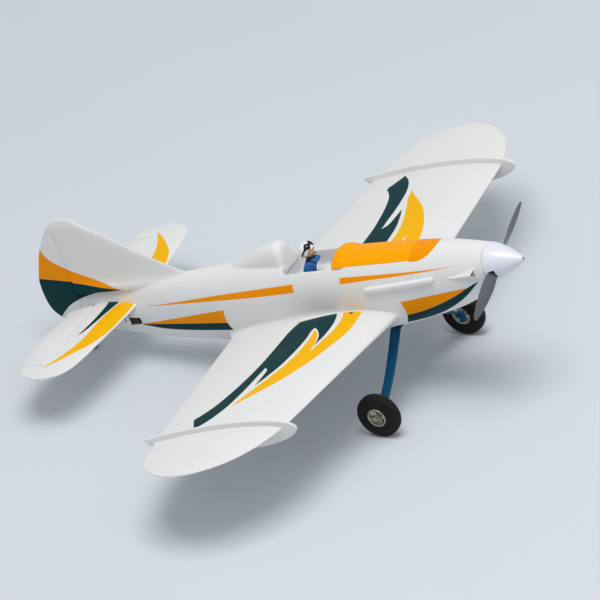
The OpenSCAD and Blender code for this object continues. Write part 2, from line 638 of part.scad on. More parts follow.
// Pushrod from the arm's hole at height z towards a horn, with a fork that straddles the horn.
module pushrod(end_s, end_y, z, upright, gap) {
    run = [end_s - servo_s, end_y - link_y];
    len = norm(run);
    rod_y(rod_d / 2, arm_y - 1, link_y, servo_s, z);
    translate([-servo_s, link_y, z]) rotate([0, 0, -atan2(run[1], run[0])]) {
        sphere(r = rod_d / 2);
        rod_x(rod_d / 2, 0, len - 9);
        rotate([upright ? 0 : 90, 0, 0]) {
            slab(len - 11, len - 8, -horn_t / 2 - gap - fork_t, horn_t / 2 + gap + fork_t, -1.6, 1.6);
            for (side = [-1, 1])
                slab(len - 8, len + 2, side * (horn_t / 2 + gap + fork_t / 2) - fork_t / 2,
                    side * (horn_t / 2 + gap + fork_t / 2) + fork_t / 2, -1.6, 1.6);
        }
    }
}
// Horn outline in the plane through the hinge: foot on the surface, hole over the hinge line.
horn_foot = [5, 16];
horn_seat = nose_round - 1.4;
horn_slot = [horn_foot[0] - 2, horn_foot[1] + foam_gap];
module horn_shape() {
    difference() {
        polygon([[-2.2, horn_r - 1.4], [-2.2, horn_r + 1.4], [-1, horn_r + 2.4], [1, horn_r + 2.4], [2.4, horn_r + 1],
            [horn_foot[1], horn_seat], [horn_foot[0], horn_seat]]);
        translate([0, horn_r]) circle(r = arm_hole_r);
    }
}

// Undercarriage sizes that follow the belly.
gear_l = 34;
gear_half_w = 26;
plate_gear_t = 4;
gear_top = under_z(axle_s, gear_half_w) + plate_gear_t - 1;
flange_z = gear_top - plate_gear_t;
wheel_y = track / 2;
hub_w = tyre_w - 4;
boss_r = 4.5;
boss_in = wheel_y - hub_w / 2 - 4;
leg_y = boss_in - 0.5 - leg_t;
axle_in = leg_y - 2.5;
collar_t = 3.5;
axle_out = wheel_y + hub_w / 2 + collar_t + 1.2;
foot_rise = 11;
gear_screw_r = 1.5;
gear_screw_y = [9, 19];
gear_screw_len = 11;

// Tail wheel sizes.
stem_r = 2;
bearing_r = 4.2;
bearing_top = rudder_bottom - 0.5;
bearing_t = 3.5;
fork_arm_t = 1.4;
fork_in = tail_wheel_w / 2 + 0.6;
tail_pin_r = 1.2;
fork_lead = 0.8;

// Cuts and cavities of the left body half.
module body_cuts() {
    top_cut = headrest_top + 40;
    rod_x(mount_r + foam_gap, nose_s - 1, fire_s);
    rod_x(shaft_hole_r, fire_s - 1, bay_s + 1);
    hull() {
        slab(bay_s, bay_s + 1, -1, bay_front_w / 2, bay_floor, bay_front_top);
        slab(bay_end - 1, bay_end, -1, bay_rear_w / 2, bay_floor, sill_z - 4);
    }
    slab(hatch_front + hatch_lap, bay_end, -1, access_w / 2, bay_floor, sill_z + 1);
    slab(hatch_front, hatch_end + tub_len, -1, cabin_w, sill_z, top_cut);
    hull() {
        for (s = [hatch_end + 9, hatch_end + tub_len - 6])
            translate([-s, 0, tub_floor + 6]) {
                translate([0, tub_w / 2 - 6, 0]) sphere(r = 6, $fn = 32);
                translate([0, tub_w / 2 - 6, 0]) cylinder(r = 6, h = 50, $fn = 32);
                translate([-6, -8, -6]) cube([12, 1, 56]);
            }
    }
    magnets(sill_z - magnet_t);
    rod_y(joiner_d / 2 + foam_gap, -1, cabin_w, joiner_s, joiner_z);
    stab_surface(foam_gap);
    rod_y(joiner_rod_r + 0.6, -1, 40, elevator_hinge, stab_z);
    slab(axle_s - gear_l / 2 - foam_gap, axle_s + gear_l / 2 + foam_gap, -1, gear_half_w + foam_gap, -belly - 40, gear_top);
    for (y = gear_screw_y)
        translate([-axle_s, y, gear_top - 1]) cylinder(r = gear_screw_r, h = gear_screw_len);
    slab(post_s - 16, post_s + 1, -1, bearing_r + foam_gap, bearing_top - bearing_t - foam_gap, bearing_top + foam_gap);
    for (z = rudder_hinge_z)
        slab(post_s - hinge_reach, post_s + 1, -1, leaf_t / 2 + foam_gap, z - hinge_w / 2 - foam_gap, z + hinge_w / 2 + foam_gap);
    hull() {
        slab(nose_s + 4, nose_s + 5, -1, 15, -nose_r - 14, -mount_r + 4);
        slab(nose_s + 40, nose_s + 41, -1, 7, -mount_r - 10, -mount_r + 4);
    }
}

// Side scoop beside the spinner: a wedge with an open front, and a raised bar behind it.
scoop_s = nose_s + 8;
scoop_len = 60;
scoop_top = 12;
scoop_bottom = -4;
scoop_out = 9;
scoop_wall = 1.6;
bar_front = 146;
bar_rear = 264;
bar_r = 4.6;
// Three-cornered slice of the scoop at a station.
module scoop_slice(s, out, top, inset) {
    y = half_w(s);
    translate([-s, 0, 0]) rotate([90, 0, 90]) linear_extrude(1)
        polygon([[y - 6, scoop_bottom + inset], [y + out - inset, scoop_bottom + inset],
            [y - 1, top - 2 * inset], [y - 6, top - 2 * inset]]);
}
module scoop() {
    difference() {
        hull() {
            scoop_slice(scoop_s, scoop_out, scoop_top, 0);
            scoop_slice(scoop_s + 14, scoop_out - 1.5, scoop_top - 3, 0);
            translate([-scoop_s - scoop_len, half_w(scoop_s + scoop_len) - 3, scoop_bottom + 3]) sphere(r = 3, $fn = 24);
        }
        hull() {
            scoop_slice(scoop_s - 2, scoop_out, scoop_top, scoop_wall);
            scoop_slice(scoop_s + 16, scoop_wall, scoop_bottom + 6, scoop_wall);
        }
    }
}
bar_drop = 5;
module side_bar() {
    hull() for (u = [0, 0.5, 1]) {
        s = mix(bar_front, bar_rear, u);
        z = 2 - bar_drop * u;
        translate([-s, side_y(s, z) - 0.5, z]) sphere(r = bar_r, $fn = 24);
    }
}
module body_shell(servo_z) {
    difference() {
        union() {
            difference() {
                union() {
                    body_half();
                    wing_fairing();
                    scoop();
                    side_bar();
                }
                body_cuts();
                servo_pocket(servo_z);
            }
            intersection() {
                headrest();
                slab(0, 900, 0, 100, headrest_base, 200);
            }
            difference() {
                fin_half();
                stab_surface(foam_gap);
            }
        }
        for (z = rudder_hinge_z)
            slab(post_s - hinge_reach, post_s + 1, -1, leaf_t / 2 + foam_gap, z - hinge_w / 2 - foam_gap, z + hinge_w / 2 + foam_gap);
    }
}

module fuselage_left() {
    stance() color(FOAM) body_shell(rudder_rod_z - arm_r);
}
module fuselage_right() {
    stance() color(FOAM) mirror([0, 1, 0]) body_shell(elevator_rod_z - arm_r);
}
module battery_hatch() {
    stance() color(ORANGE) difference() {
        loft([for (t = HATCH_SHARES) hatch_ring(t, hatch_z)]);
        intersection() {
            translate([0, 0, -hatch_wall]) loft([for (t = HATCH_SHARES) hatch_ring(t, hatch_z)]);
            slab(hatch_front + hatch_lap, hatch_end - hatch_lap, -access_w / 2, access_w / 2, hatch_z - 20, 90);
        }
        magnets(hatch_z);
    }
}
module hatch_magnets() {
    stance() color(STEEL) magnets(hatch_z);
}
module body_magnets() {
    stance() color(STEEL) magnets(sill_z - magnet_t);
}
module wing_left() {
    stance() color(FOAM) wing_panel();
}
module wing_right() {
    stance() color(FOAM) mirror([0, 1, 0]) wing_panel();
}
module wing_tip_left() {
    stance() color(FOAM) wing_tip();
}
module wing_tip_right() {
    stance() color(FOAM) mirror([0, 1, 0]) wing_tip();
}
module fence_left() {
    stance() color(FOAM) fence();
}
module fence_right() {
    stance() color(FOAM) mirror([0, 1, 0]) fence();
}
module wing_joiner() {
    stance() color(BLACK) difference() {
        rod_y(joiner_d / 2, -joiner_len / 2, joiner_len / 2, joiner_s, joiner_z);
        rod_y(joiner_d / 2 - joiner_wall, -joiner_len, joiner_len, joiner_s, joiner_z);
        for (side = [-1, 1]) translate([-joiner_s, side * screw_y, joiner_z]) cylinder(r = screw_r, h = joiner_d);
    }
}
module wing_screws() {
    stance() color(BLACK) both_sides() difference() {
        union() {
            translate([-joiner_s, screw_y, screw_tip]) cylinder(r = screw_r, h = screw_top - screw_tip - 1);
            translate([-joiner_s, screw_y, screw_top - screw_head_h]) cylinder(r = screw_head_r, h = screw_head_h);
        }
        translate([-joiner_s, screw_y, screw_top - 1.2]) cylinder(r = 1.3, h = 3, $fn = 6);
    }
}
module tailplane() {
    stance() color(FOAM) difference() {
        stab_surface();
        elevator_room();
        for (y = elevator_hinge_y, side = [-1, 1])
            slab(elevator_front - hinge_reach - foam_gap, elevator_front + 1, side * y - hinge_w / 2 - foam_gap,
                side * y + hinge_w / 2 + foam_gap, stab_z - leaf_t / 2 - foam_gap, stab_z + leaf_t / 2 + foam_gap);
    }
}
module elevator_left() {
    stance() color(FOAM) elevator_half();
}
module elevator_right() {
    stance() color(FOAM) difference() {
        mirror([0, 1, 0]) elevator_half();
        translate([0, -link_y, 0]) slab(elevator_hinge + horn_slot[0], elevator_hinge + horn_slot[1],
            -horn_t / 2 - foam_gap, horn_t / 2 + foam_gap, stab_z - 20, stab_z - horn_seat + 0.2);
    }
}
module elevator_joiner() {
    stance() color(BLACK)
        rod_y(joiner_rod_r, -elevator_in - joiner_rod_in, elevator_in + joiner_rod_in, elevator_hinge, stab_z);
}
module elevator_hinges() {
    stance() color(NYLON) for (y = elevator_hinge_y, side = [-1, 1]) difference() {
        union() {
            rod_y(knuckle_r, side * y - hinge_w / 2, side * y + hinge_w / 2, elevator_hinge, stab_z);
            slab(elevator_front - hinge_reach, elevator_hinge, side * y - hinge_w / 2, side * y + hinge_w / 2,
                stab_z - leaf_t / 2, stab_z + leaf_t / 2);
        }
        rod_y(pin_r + turn_clear, side * y - hinge_w, side * y + hinge_w, elevator_hinge, stab_z);
    }
}
module elevator_hinge_pins() {
    stance() color(STEEL) for (y = elevator_hinge_y, side = [-1, 1])
        rod_y(pin_r, side * y - pin_len / 2, side * y + pin_len / 2, elevator_hinge, stab_z);
}
RUDDER_RINGS = 12;
module rudder() {
    stance() color(FOAM) difference() {
        union() {
            translate([-rudder_hinge, 0, rudder_bottom]) cylinder(r = nose_round, h = rudder_top - rudder_bottom);
            loft([for (k = [0:RUDDER_RINGS])
                let (z = mix(rudder_bottom, rudder_top, k / RUDDER_RINGS), te = fin_te_at(z))
                [[-rudder_hinge, -nose_round, z], [-rudder_hinge, nose_round, z],
                    [-te, edge_t / 2, z], [-te, -edge_t / 2, z]]]);
        }
        for (z = rudder_hinge_z) {
            slab(rudder_hinge - 10, rudder_hinge + notch_depth, -10, 10, z - notch_w / 2, z + notch_w / 2);
            translate([-rudder_hinge, 0, z - pin_len / 2]) cylinder(r = pin_r, h = pin_len);
        }
        translate([-rudder_hinge, 0, rudder_bottom - 1]) cylinder(r = stem_r, h = 21);
        slab(rudder_hinge + horn_slot[0], rudder_hinge + horn_slot[1], horn_seat - 0.2, 20,
            rudder_rod_z - horn_t / 2 - foam_gap, rudder_rod_z + horn_t / 2 + foam_gap);
    }
}
module rudder_hinges() {
    stance() color(NYLON) for (z = rudder_hinge_z) difference() {
        union() {
            translate([-rudder_hinge, 0, z - hinge_w / 2]) cylinder(r = knuckle_r, h = hinge_w);
            slab(post_s - hinge_reach + foam_gap, rudder_hinge, -leaf_t / 2, leaf_t / 2, z - hinge_w / 2, z + hinge_w / 2);
        }
        translate([-rudder_hinge, 0, z - hinge_w]) cylinder(r = pin_r + turn_clear, h = 2 * hinge_w);
    }
}
module rudder_hinge_pins() {
    stance() color(STEEL) for (z = rudder_hinge_z)
        translate([-rudder_hinge, 0, z - pin_len / 2]) cylinder(r = pin_r, h = pin_len);
}
module spinner() {
    profile = [for (k = [0:SPIN_STEPS]) [spin_r(k / SPIN_STEPS), -spinner_len * k / SPIN_STEPS]];
    inner = [for (k = [SPIN_STEPS:-1:2]) [spin_r(k / SPIN_STEPS) - spinner_wall, -spinner_len * k / SPIN_STEPS]];
    stance() color(NYLON) difference() {
        rotate([0, 90, 0]) rotate_extrude($fn = 96) polygon(concat(profile, inner, [[0, -spinner_len * 2 / SPIN_STEPS], [0, 0]]));
        rod_x(screw_r + 0.1, -1, 20);
        rod_x(screw_head_r + 0.2, -1, 3);
        rotate([prop_angle, 0, 0]) for (side = [-1, 1])
            slab(hub_s - 1, plate_s, side * 26 - 14, side * 26 + 14, -8, 8);
    }
}
module spinner_screw() {
    stance() color(STEEL) difference() {
        union() {
            rod_x(screw_head_r, 0.6, 3);
            rod_x(screw_r, 3, shaft_front);
        }
        rod_x(1.3, 0, 2, $fn = 6);
    }
}
module spinner_plate() {
    stance() color(NYLON) difference() {
        rod_x(spin_r(plate_s / spinner_len) - spinner_wall - foam_gap, plate_s, spinner_len);
        rod_x(shaft_d / 2, plate_s - 1, spinner_len + 1);
    }
}
// Blade sections by share of the radius: share of the chord and pitch angle.
BLADE_SHAPE = [[0.05, 0.5, 40], [0.14, 0.56, 38], [0.25, 0.78, 33], [0.42, 1, 25], [0.6, 0.96, 19], [0.78, 0.78, 15],
    [0.9, 0.56, 13], [0.97, 0.34, 12], [1, 0.1, 11]];
BLADE_STEPS = 10;
blade_t = 3.6;
function blade_ring(row) = let (c = blade_chord * row[1], h = blade_t * mix(1, 0.3, row[0]), y = prop_d / 2 * row[0])
    [for (k = [0:BLADE_STEPS - 1]) let (a = -360 * k / BLADE_STEPS, u = cos(a) * c / 2, v = sin(a) * h / 2)
        [u * sin(row[2]) - v * cos(row[2]) - (hub_s + plate_s) / 2, y, u * cos(row[2]) + v * sin(row[2])]];
module propeller() {
    stance() color(GREY) rotate([prop_angle, 0, 0]) difference() {
        union() {
            rod_x(prop_hub_r, hub_s, plate_s);
            for (turn = [0, 180]) rotate([turn, 0, 0]) loft([for (row = BLADE_SHAPE) blade_ring(row)]);
        }
        rod_x(shaft_d / 2, hub_s - 5, plate_s + 5);
    }
}
module propeller_nut() {
    stance() color(STEEL) difference() {
        rod_x(5.5, nut_s, hub_s, $fn = 6);
        rod_x(shaft_d / 2, nut_s - 1, hub_s + 1);
    }
}
module motor_shaft() {
    stance() color(STEEL) difference() {
        rod_x(shaft_d / 2, shaft_front, fire_s + 4);
        rod_x(screw_r, shaft_front - 1, shaft_front + 1);
    }
}
module motor_bell() {
    stance() color(GREY) difference() {
        rod_x(motor_d / 2, bell_s, bell_s + bell_len);
        rod_x(motor_d / 2 - bell_wall, bell_s + 3, bell_s + bell_len + 1);
        rod_x(shaft_d / 2, bell_s - 1, bell_s + 5);
        for (a = [0:60:300]) rotate([a, 0, 0]) rod_x(3, bell_s - 1, bell_s + 4, motor_d / 2 - 6.5);
    }
}
module motor_stator() {
    stance() color([0.5, 0.25, 0.12]) difference() {
        union() {
            rod_x(motor_d / 2 - bell_wall - 0.6, bell_s + 4, mount_s - stator_base_t);
            rod_x(motor_d / 2, mount_s - stator_base_t, mount_s);
        }
        rod_x(shaft_d / 2 + turn_clear, bell_s, mount_s + 1);
        motor_holes(screw_r);
    }
}
motor_bolt_y = motor_d / 2 - 4.5;
module motor_holes(r) {
    for (a = [45:90:315]) rotate([a, 0, 0]) rod_x(r, mount_s - stator_base_t - 1, fire_s + 6, motor_bolt_y);
}
module motor_mount() {
    stance() color(BLACK) difference() {
        rod_x(mount_r, mount_s, fire_s);
        rod_x(shaft_d / 2 + 2, mount_s - 1, fire_s + 1);
        motor_holes(screw_r);
    }
}
module speed_controller() {
    stance() color([0.1, 0.25, 0.6]) difference() {
        slab(esc_s, esc_s + esc_l, -esc_w / 2, esc_w / 2, tray_top, tray_top + esc_h);
        for (k = [0:4]) slab(esc_s + 8 + 6 * k, esc_s + 11 + 6 * k, -esc_w, esc_w, tray_top + esc_h - 2, tray_top + esc_h + 1);
    }
}
module battery() {
    stance() color([0.15, 0.15, 0.6])
        slab(battery_s, battery_s + battery_len, -battery_w / 2, battery_w / 2, tray_top, tray_top + battery_h);
}
module battery_strap() {
    mid = battery_s + battery_len / 2;
    stance() color(BLACK) difference() {
        slab(mid - strap_w / 2, mid + strap_w / 2, -battery_w / 2 - strap_t, battery_w / 2 + strap_t, tray_top, tray_top + battery_h + strap_t);
        slab(mid - strap_w, mid + strap_w, -battery_w / 2, battery_w / 2, tray_top - 1, tray_top + battery_h);
    }
}
module equipment_tray() {
    stance() color([0.8, 0.65, 0.4]) slab(tray_s, bay_end - 2, -tray_w / 2, tray_w / 2, bay_floor, tray_top);
}
module receiver() {
    stance() color(GREY) slab(receiver_s, receiver_s + receiver_l, -receiver_w / 2, receiver_w / 2, tray_top, tray_top + receiver_h);
}
module elevator_servo() {
    stance() color(BLACK) mirror([0, 1, 0]) servo(elevator_rod_z - arm_r);
}
module elevator_servo_arm() {
    stance() color(NYLON) mirror([0, 1, 0]) servo_arm(elevator_rod_z - arm_r);
}
module elevator_pushrod() {
    stance() color(STEEL) mirror([0, 1, 0]) pushrod(elevator_hinge, link_y, elevator_rod_z, true, fork_gap);
}
module elevator_horn() {
    stance() color(NYLON) translate([-elevator_hinge, -link_y + horn_t / 2, stab_z]) rotate([90, 0, 0]) linear_extrude(horn_t)
        rotate(180) horn_shape();
}
module rudder_servo() {
    stance() color(BLACK) servo(rudder_rod_z - arm_r);
}
module rudder_servo_arm() {
    stance() color(NYLON) servo_arm(rudder_rod_z - arm_r);
}
module rudder_pushrod() {
    stance() color(STEEL) pushrod(rudder_hinge, horn_r, rudder_rod_z, false, rudder_fork_gap);
}
module rudder_horn() {
    stance() color(NYLON) translate([-rudder_hinge, 0, rudder_rod_z - horn_t / 2]) linear_extrude(horn_t)
        mirror([1, 0, 0]) horn_shape();
}
module gear_plate() {
    stance() color(BLACK) difference() {
        slab(axle_s - gear_l / 2, axle_s + gear_l / 2, -gear_half_w, gear_half_w, flange_z, gear_top);
        for (y = gear_screw_y, side = [-1, 1])
            translate([-axle_s, side * y, flange_z - 1]) cylinder(r = gear_screw_r, h = plate_gear_t + 2);
    }
}
// Leg: a strip bowed in front outline, trimmed to a tapered side outline with a round foot.
leg_bend = [gear_half_w, flange_z];
leg_foot = [leg_y + leg_t, -axle_drop + foot_rise];
leg_bow = 5;
leg_lead = 3;
LEG_STEPS = 6;
function leg_path(u) = [mix(leg_bend[0], leg_foot[0], u), mix(leg_bend[1], leg_foot[1], u) - 4 * leg_bow * u * (1 - u)];
leg_fall = norm(leg_foot - leg_bend) / (leg_foot[0] - leg_bend[0]) * leg_t;
module leg_front() {
    foot_z = -axle_drop - leg_foot_w;
    translate([-axle_s - 2 * leg_top_w, 0, 0]) rotate([90, 0, 90]) linear_extrude(4 * leg_top_w) polygon(concat(
        [[2, flange_z]], [for (k = [0:LEG_STEPS]) leg_path(k / LEG_STEPS)],
        [[leg_y + leg_t, foot_z], [leg_y, foot_z], [leg_y, leg_foot[1] - leg_t]],
        [for (k = [LEG_STEPS - 1:-1:0]) leg_path(k / LEG_STEPS) - [k == 0 ? 1 : 0, k == 0 ? leg_t : leg_fall]],
        [[2, flange_z - leg_t]]));
}
module leg_side() {
    translate([-axle_s, 2 * cabin_w, 0]) rotate([90, 0, 0]) linear_extrude(2 * cabin_w) polygon(concat(
        [[leg_lead + leg_top_w / 2, flange_z + 5], [leg_lead - leg_top_w / 2, flange_z + 5]],
        [[leg_lead - leg_top_w / 2, flange_z - 6]],
        [for (a = [180:15:360]) [leg_lead * 1.4 + leg_foot_w / 2 * cos(a), -axle_drop + leg_foot_w / 2 * sin(a)]],
        [[leg_lead + leg_top_w / 2, flange_z - 6]]));
}
module gear_leg() {
    difference() {
        intersection() {
            leg_front();
            leg_side();
        }
        rod_y(axle_d / 2, leg_y - 5, leg_y + 10, axle_s, -axle_drop);
        for (y = gear_screw_y)
            translate([-axle_s, y, flange_z - 10]) cylinder(r = gear_screw_r, h = 20);
    }
}
module gear_leg_left() {
    stance() color(BLUE) gear_leg();
}
module gear_leg_right() {
    stance() color(BLUE) mirror([0, 1, 0]) gear_leg();
}
module machine_screws() {
    stance() color(STEEL) {
        for (a = [45:90:315]) rotate([a, 0, 0]) rod_x(screw_r, mount_s - stator_base_t, fire_s, motor_bolt_y);
        both_sides() for (y = gear_screw_y) translate([-axle_s, y, flange_z - leg_t]) {
            translate([0, 0, -1.6]) cylinder(r = 2.6, h = 1.6);
            cylinder(r = gear_screw_r, h = leg_t + plate_gear_t + gear_screw_len - 2);
        }
    }
}
module wheel_axles() {
    stance() color(STEEL) both_sides() {
        rod_y(axle_d / 2, axle_in, axle_out, axle_s, -axle_drop);
        rod_y(axle_d / 2 + 1.6, axle_in, leg_y, axle_s, -axle_drop);
    }
}
TYRE_STEPS = 18;
module tyre() {
    r_in = hub_d / 2;
    rotate_extrude($fn = 96) polygon([for (k = [0:TYRE_STEPS])
        let (a = 180 * k / TYRE_STEPS) [r_in + (tyre_d / 2 - r_in) * pow(sin(a), 0.62),
            tyre_w / 2 * pow(abs(cos(a)), 0.7) * sign(cos(a)) * mix(0.82, 1, pow(sin(a), 0.7))]]);
}
SPOKES = 5;
module wheel_hub() {
    rim_r = hub_d / 2;
    difference() {
        union() {
            translate([0, 0, -hub_w / 2]) cylinder(r = rim_r, h = hub_w);
            translate([0, 0, -hub_w / 2 - 4]) cylinder(r = boss_r, h = hub_w + 4);
        }
        for (z = [-hub_w / 2 - 1, 3.5])
            translate([0, 0, z]) difference() {
                cylinder(r = rim_r - 2, h = hub_w / 2 - 2.5);
                translate([0, 0, -1]) cylinder(r = boss_r, h = hub_w);
            }
        for (k = [0:SPOKES - 1]) rotate([0, 0, 360 * k / SPOKES])
            translate([(rim_r - 2 + boss_r) / 2, 0, -hub_w]) cylinder(r = 2.6, h = 2 * hub_w);
        translate([0, 0, -hub_w]) cylinder(r = axle_d / 2 + turn_clear, h = 2 * hub_w);
    }
}
module at_wheel(side) {
    translate([-axle_s, side * wheel_y, -axle_drop]) rotate([-90 * side, 0, 0]) children();
}
module hub_left() {
    stance() color(STEEL) at_wheel(1) wheel_hub();
}
module hub_right() {
    stance() color(STEEL) at_wheel(-1) wheel_hub();
}
module tyre_left() {
    stance() color(BLACK) at_wheel(1) tyre();
}
module tyre_right() {
    stance() color(BLACK) at_wheel(-1) tyre();
}
module wheel_collars() {
    stance() color(STEEL) both_sides() difference() {
        rod_y(axle_d / 2 + 2, wheel_y + hub_w / 2 + 0.4, wheel_y + hub_w / 2 + 0.4 + collar_t, axle_s, -axle_drop);
        rod_y(axle_d / 2, wheel_y, wheel_y + hub_w, axle_s, -axle_drop);
    }
}
module tail_bearing() {
    z = bearing_top - bearing_t;
    stance() color(BLACK) difference() {
        union() {
            translate([-rudder_hinge, 0, z]) cylinder(r = bearing_r, h = bearing_t);
            slab(post_s - 16 + foam_gap, rudder_hinge, -bearing_r, bearing_r, z, bearing_top);
        }
        translate([-rudder_hinge, 0, z - 1]) cylinder(r = stem_r + turn_clear, h = bearing_t + 2);
    }
}
module tail_wheel_fork() {
    crown_z = bearing_top - bearing_t - 0.5;
    arm = [[-rudder_hinge + fork_lead, crown_z], [-rudder_hinge - 4, crown_z], [-tail_axle_s - 2.4, -tail_axle_drop],
        [-tail_axle_s, -tail_axle_drop - 2.4], [-tail_axle_s + 2.4, -tail_axle_drop], [-rudder_hinge + fork_lead, crown_z - 5]];
    stance() color(BLACK) {
        difference() {
            union() {
                translate([-rudder_hinge, 0, crown_z - 2]) cylinder(r = stem_r, h = rudder_bottom + 20 - crown_z + 2);
                slab(rudder_hinge - fork_lead, rudder_hinge + 4, -fork_in - fork_arm_t, fork_in + fork_arm_t, crown_z - 2.5, crown_z);
                for (y = [-fork_in, fork_in + fork_arm_t])
                    translate([0, y, 0]) rotate([90, 0, 0]) linear_extrude(fork_arm_t) polygon(arm);
            }
            rod_y(tail_pin_r, -20, 20, tail_axle_s, -tail_axle_drop);
        }
        rod_y(tail_pin_r, -fork_in - fork_arm_t, fork_in + fork_arm_t, tail_axle_s, -tail_axle_drop);
    }
}
module tail_wheel() {
    stance() color(BLACK) difference() {
        translate([-tail_axle_s, 0, -tail_axle_drop]) rotate([-90, 0, 0]) rotate_extrude($fn = 64)
            polygon(concat([[0, -tail_wheel_w / 2], [tail_wheel_d / 4, -tail_wheel_w / 2]],
                [for (k = [1:9]) let (a = -90 + 18 * k) [tail_wheel_d / 4 + tail_wheel_d / 4 * pow(cos(a), 0.6),
                    tail_wheel_w / 2 * sin(a)]],
                [[tail_wheel_d / 4, tail_wheel_w / 2], [0, tail_wheel_w / 2]]));
        rod_y(tail_pin_r + turn_clear, -20, 20, tail_axle_s, -tail_axle_drop);
    }
}
pilot_s = hatch_end + tub_len - 39;
torso_d = 24;
neck_z = head_z - helmet_d / 2 - 2;
module pilot_torso() {
    stance() color(BLUE) hull() {
        translate([-pilot_s, 0, tub_floor + 0.5]) linear_extrude(1) scale([0.5, 1]) circle(d = shoulder_w * 0.72, $fn = 32);
        for (side = [-1, 1]) translate([-pilot_s, side * (shoulder_w / 2 - 7), neck_z - 7]) sphere(r = 7, $fn = 24);
        translate([-pilot_s, 0, neck_z - 3]) sphere(r = 6, $fn = 24);
        translate([-pilot_s + torso_d / 2 - 8, 0, neck_z - 12]) sphere(r = 8, $fn = 24);
    }
}
module pilot_head() {
    stance() color([0.85, 0.65, 0.52]) {
        translate([-pilot_s + 2.2, 0, head_z - 1.5]) sphere(r = helmet_d / 2 - 3.4);
        translate([-pilot_s + 1, 0, neck_z + 3.3]) cylinder(r = 4, h = 6);
    }
}
module pilot_helmet() {
    stance() color(NYLON) difference() {
        translate([-pilot_s, 0, head_z]) sphere(r = helmet_d / 2);
        translate([-pilot_s + 2.2, 0, head_z - 1.5]) sphere(r = helmet_d / 2 - 3.2);
        translate([-pilot_s + 3, -helmet_d, head_z - helmet_d - 1]) cube([helmet_d, 2 * helmet_d, helmet_d + 4]);
        translate([-pilot_s - helmet_d, -helmet_d, head_z - helmet_d - 7]) cube([2 * helmet_d, 2 * helmet_d, helmet_d]);
    }
}

fuselage_left();
fuselage_right();
battery_hatch();
hatch_magnets();
body_magnets();
wing_left();
wing_right();
wing_tip_left();
wing_tip_right();
fence_left();
fence_right();
wing_joiner();
wing_screws();
tailplane();
elevator_left();
elevator_right();
elevator_joiner();
elevator_hinges();
elevator_hinge_pins();
rudder();
rudder_hinges();
rudder_hinge_pins();
spinner();
spinner_screw();
spinner_plate();
propeller();
propeller_nut();
motor_shaft();
motor_bell();
motor_stator();
motor_mount();
speed_controller();
battery();
battery_strap();
equipment_tray();
receiver();
elevator_servo();
elevator_servo_arm();
elevator_pushrod();
elevator_horn();
rudder_servo();
rudder_servo_arm();
rudder_pushrod();
rudder_horn();
gear_plate();
gear_leg_left();
gear_leg_right();
machine_screws();
wheel_axles();
hub_left();
hub_right();
tyre_left();
tyre_right();
wheel_collars();
tail_bearing();
tail_wheel_fork();
tail_wheel();
pilot_torso();
pilot_head();
pilot_helmet();
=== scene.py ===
"""A foam radio-control aeroplane, dressed for rendering round its solid frame.

Shapes are modelled in the aeroplane's own axes, in mm: x runs forward from the spinner tip, so a
station s aft of the tip lies at x = -s, y is to the left and z is up from the thrust line. The last
step of each piece turns it into the stance in which the aeroplane stands on its three wheels.
"""
import json
from math import asin, atan2, cos, exp, pi, radians, sin, sqrt, tau

import bmesh
import bpy
from mathutils import Matrix, Vector


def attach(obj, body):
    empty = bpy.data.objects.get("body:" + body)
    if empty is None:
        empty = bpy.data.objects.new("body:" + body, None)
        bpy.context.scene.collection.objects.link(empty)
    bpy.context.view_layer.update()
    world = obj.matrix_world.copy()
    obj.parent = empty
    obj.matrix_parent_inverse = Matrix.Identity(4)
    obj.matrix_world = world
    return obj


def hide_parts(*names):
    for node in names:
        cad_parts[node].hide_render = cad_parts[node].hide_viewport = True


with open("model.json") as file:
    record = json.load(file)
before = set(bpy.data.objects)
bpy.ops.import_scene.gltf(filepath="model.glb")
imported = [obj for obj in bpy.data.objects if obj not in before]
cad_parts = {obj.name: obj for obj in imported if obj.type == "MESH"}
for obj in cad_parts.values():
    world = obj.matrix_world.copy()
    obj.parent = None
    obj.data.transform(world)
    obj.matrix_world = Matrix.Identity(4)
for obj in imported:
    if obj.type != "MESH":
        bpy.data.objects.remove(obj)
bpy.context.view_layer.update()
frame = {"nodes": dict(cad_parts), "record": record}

# Stance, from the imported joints.
MM = 0.001
JOINTS = {joint["name"]: joint for joint in frame["record"]["behaviour"]["joints"]}
THRUST = Vector(JOINTS["rotor_spin"]["axis"])
ROTOR_S = 60
PITCH = atan2(THRUST.z, THRUST.x)
TIP = Vector(JOINTS["rotor_spin"]["pos_m"]) + THRUST * ROTOR_S * MM
TURN = Matrix.Rotation(-PITCH, 4, "Y")
STANCE = Matrix.Translation(TIP) @ TURN @ Matrix.Scale(MM, 4)

# Driving sizes, in mm.
SPINNER_D, SPINNER_LEN, SPINNER_GAP, SPINNER_WALL = 61, 56, 1.5, 1.6
CABIN_S, CABIN_W, CABIN_TOP, BELLY, FULLNESS = 250, 100, 42.5, 89, 2.3
POST_W, POST_TOP, POST_BOTTOM, CHIN_STEP = 16, 9, 52, 2
CREST_S, CREST_RUN, CREST_FULL = 660, 90, 1.15
HATCH_FRONT, HATCH_LEN, SILL_Z, SCREEN_RISE = 181, 145, 31, 4.5
HATCH_WALL, HATCH_LAP, HATCH_GAP, HATCH_ROUND, HUMP_LEN = 6, 14, 0.4, 7, 30
TUB_LEN, TUB_W, TUB_FLOOR = 94, 62, 2
HEADREST_TOP, HEADREST_W, HEADREST_LEN, HEADREST_RAKE = 67, 44, 114, 0.15
WING_SPAN, WING_LE, ROOT_CHORD, WING_Z, ROOT_DROP = 984, 229, 319, -52, 17
FENCE_Y, FENCE_SWEEP, FENCE_CHORD, FENCE_RISE, FENCE_DROP = 366, 31, 243, 9, 8
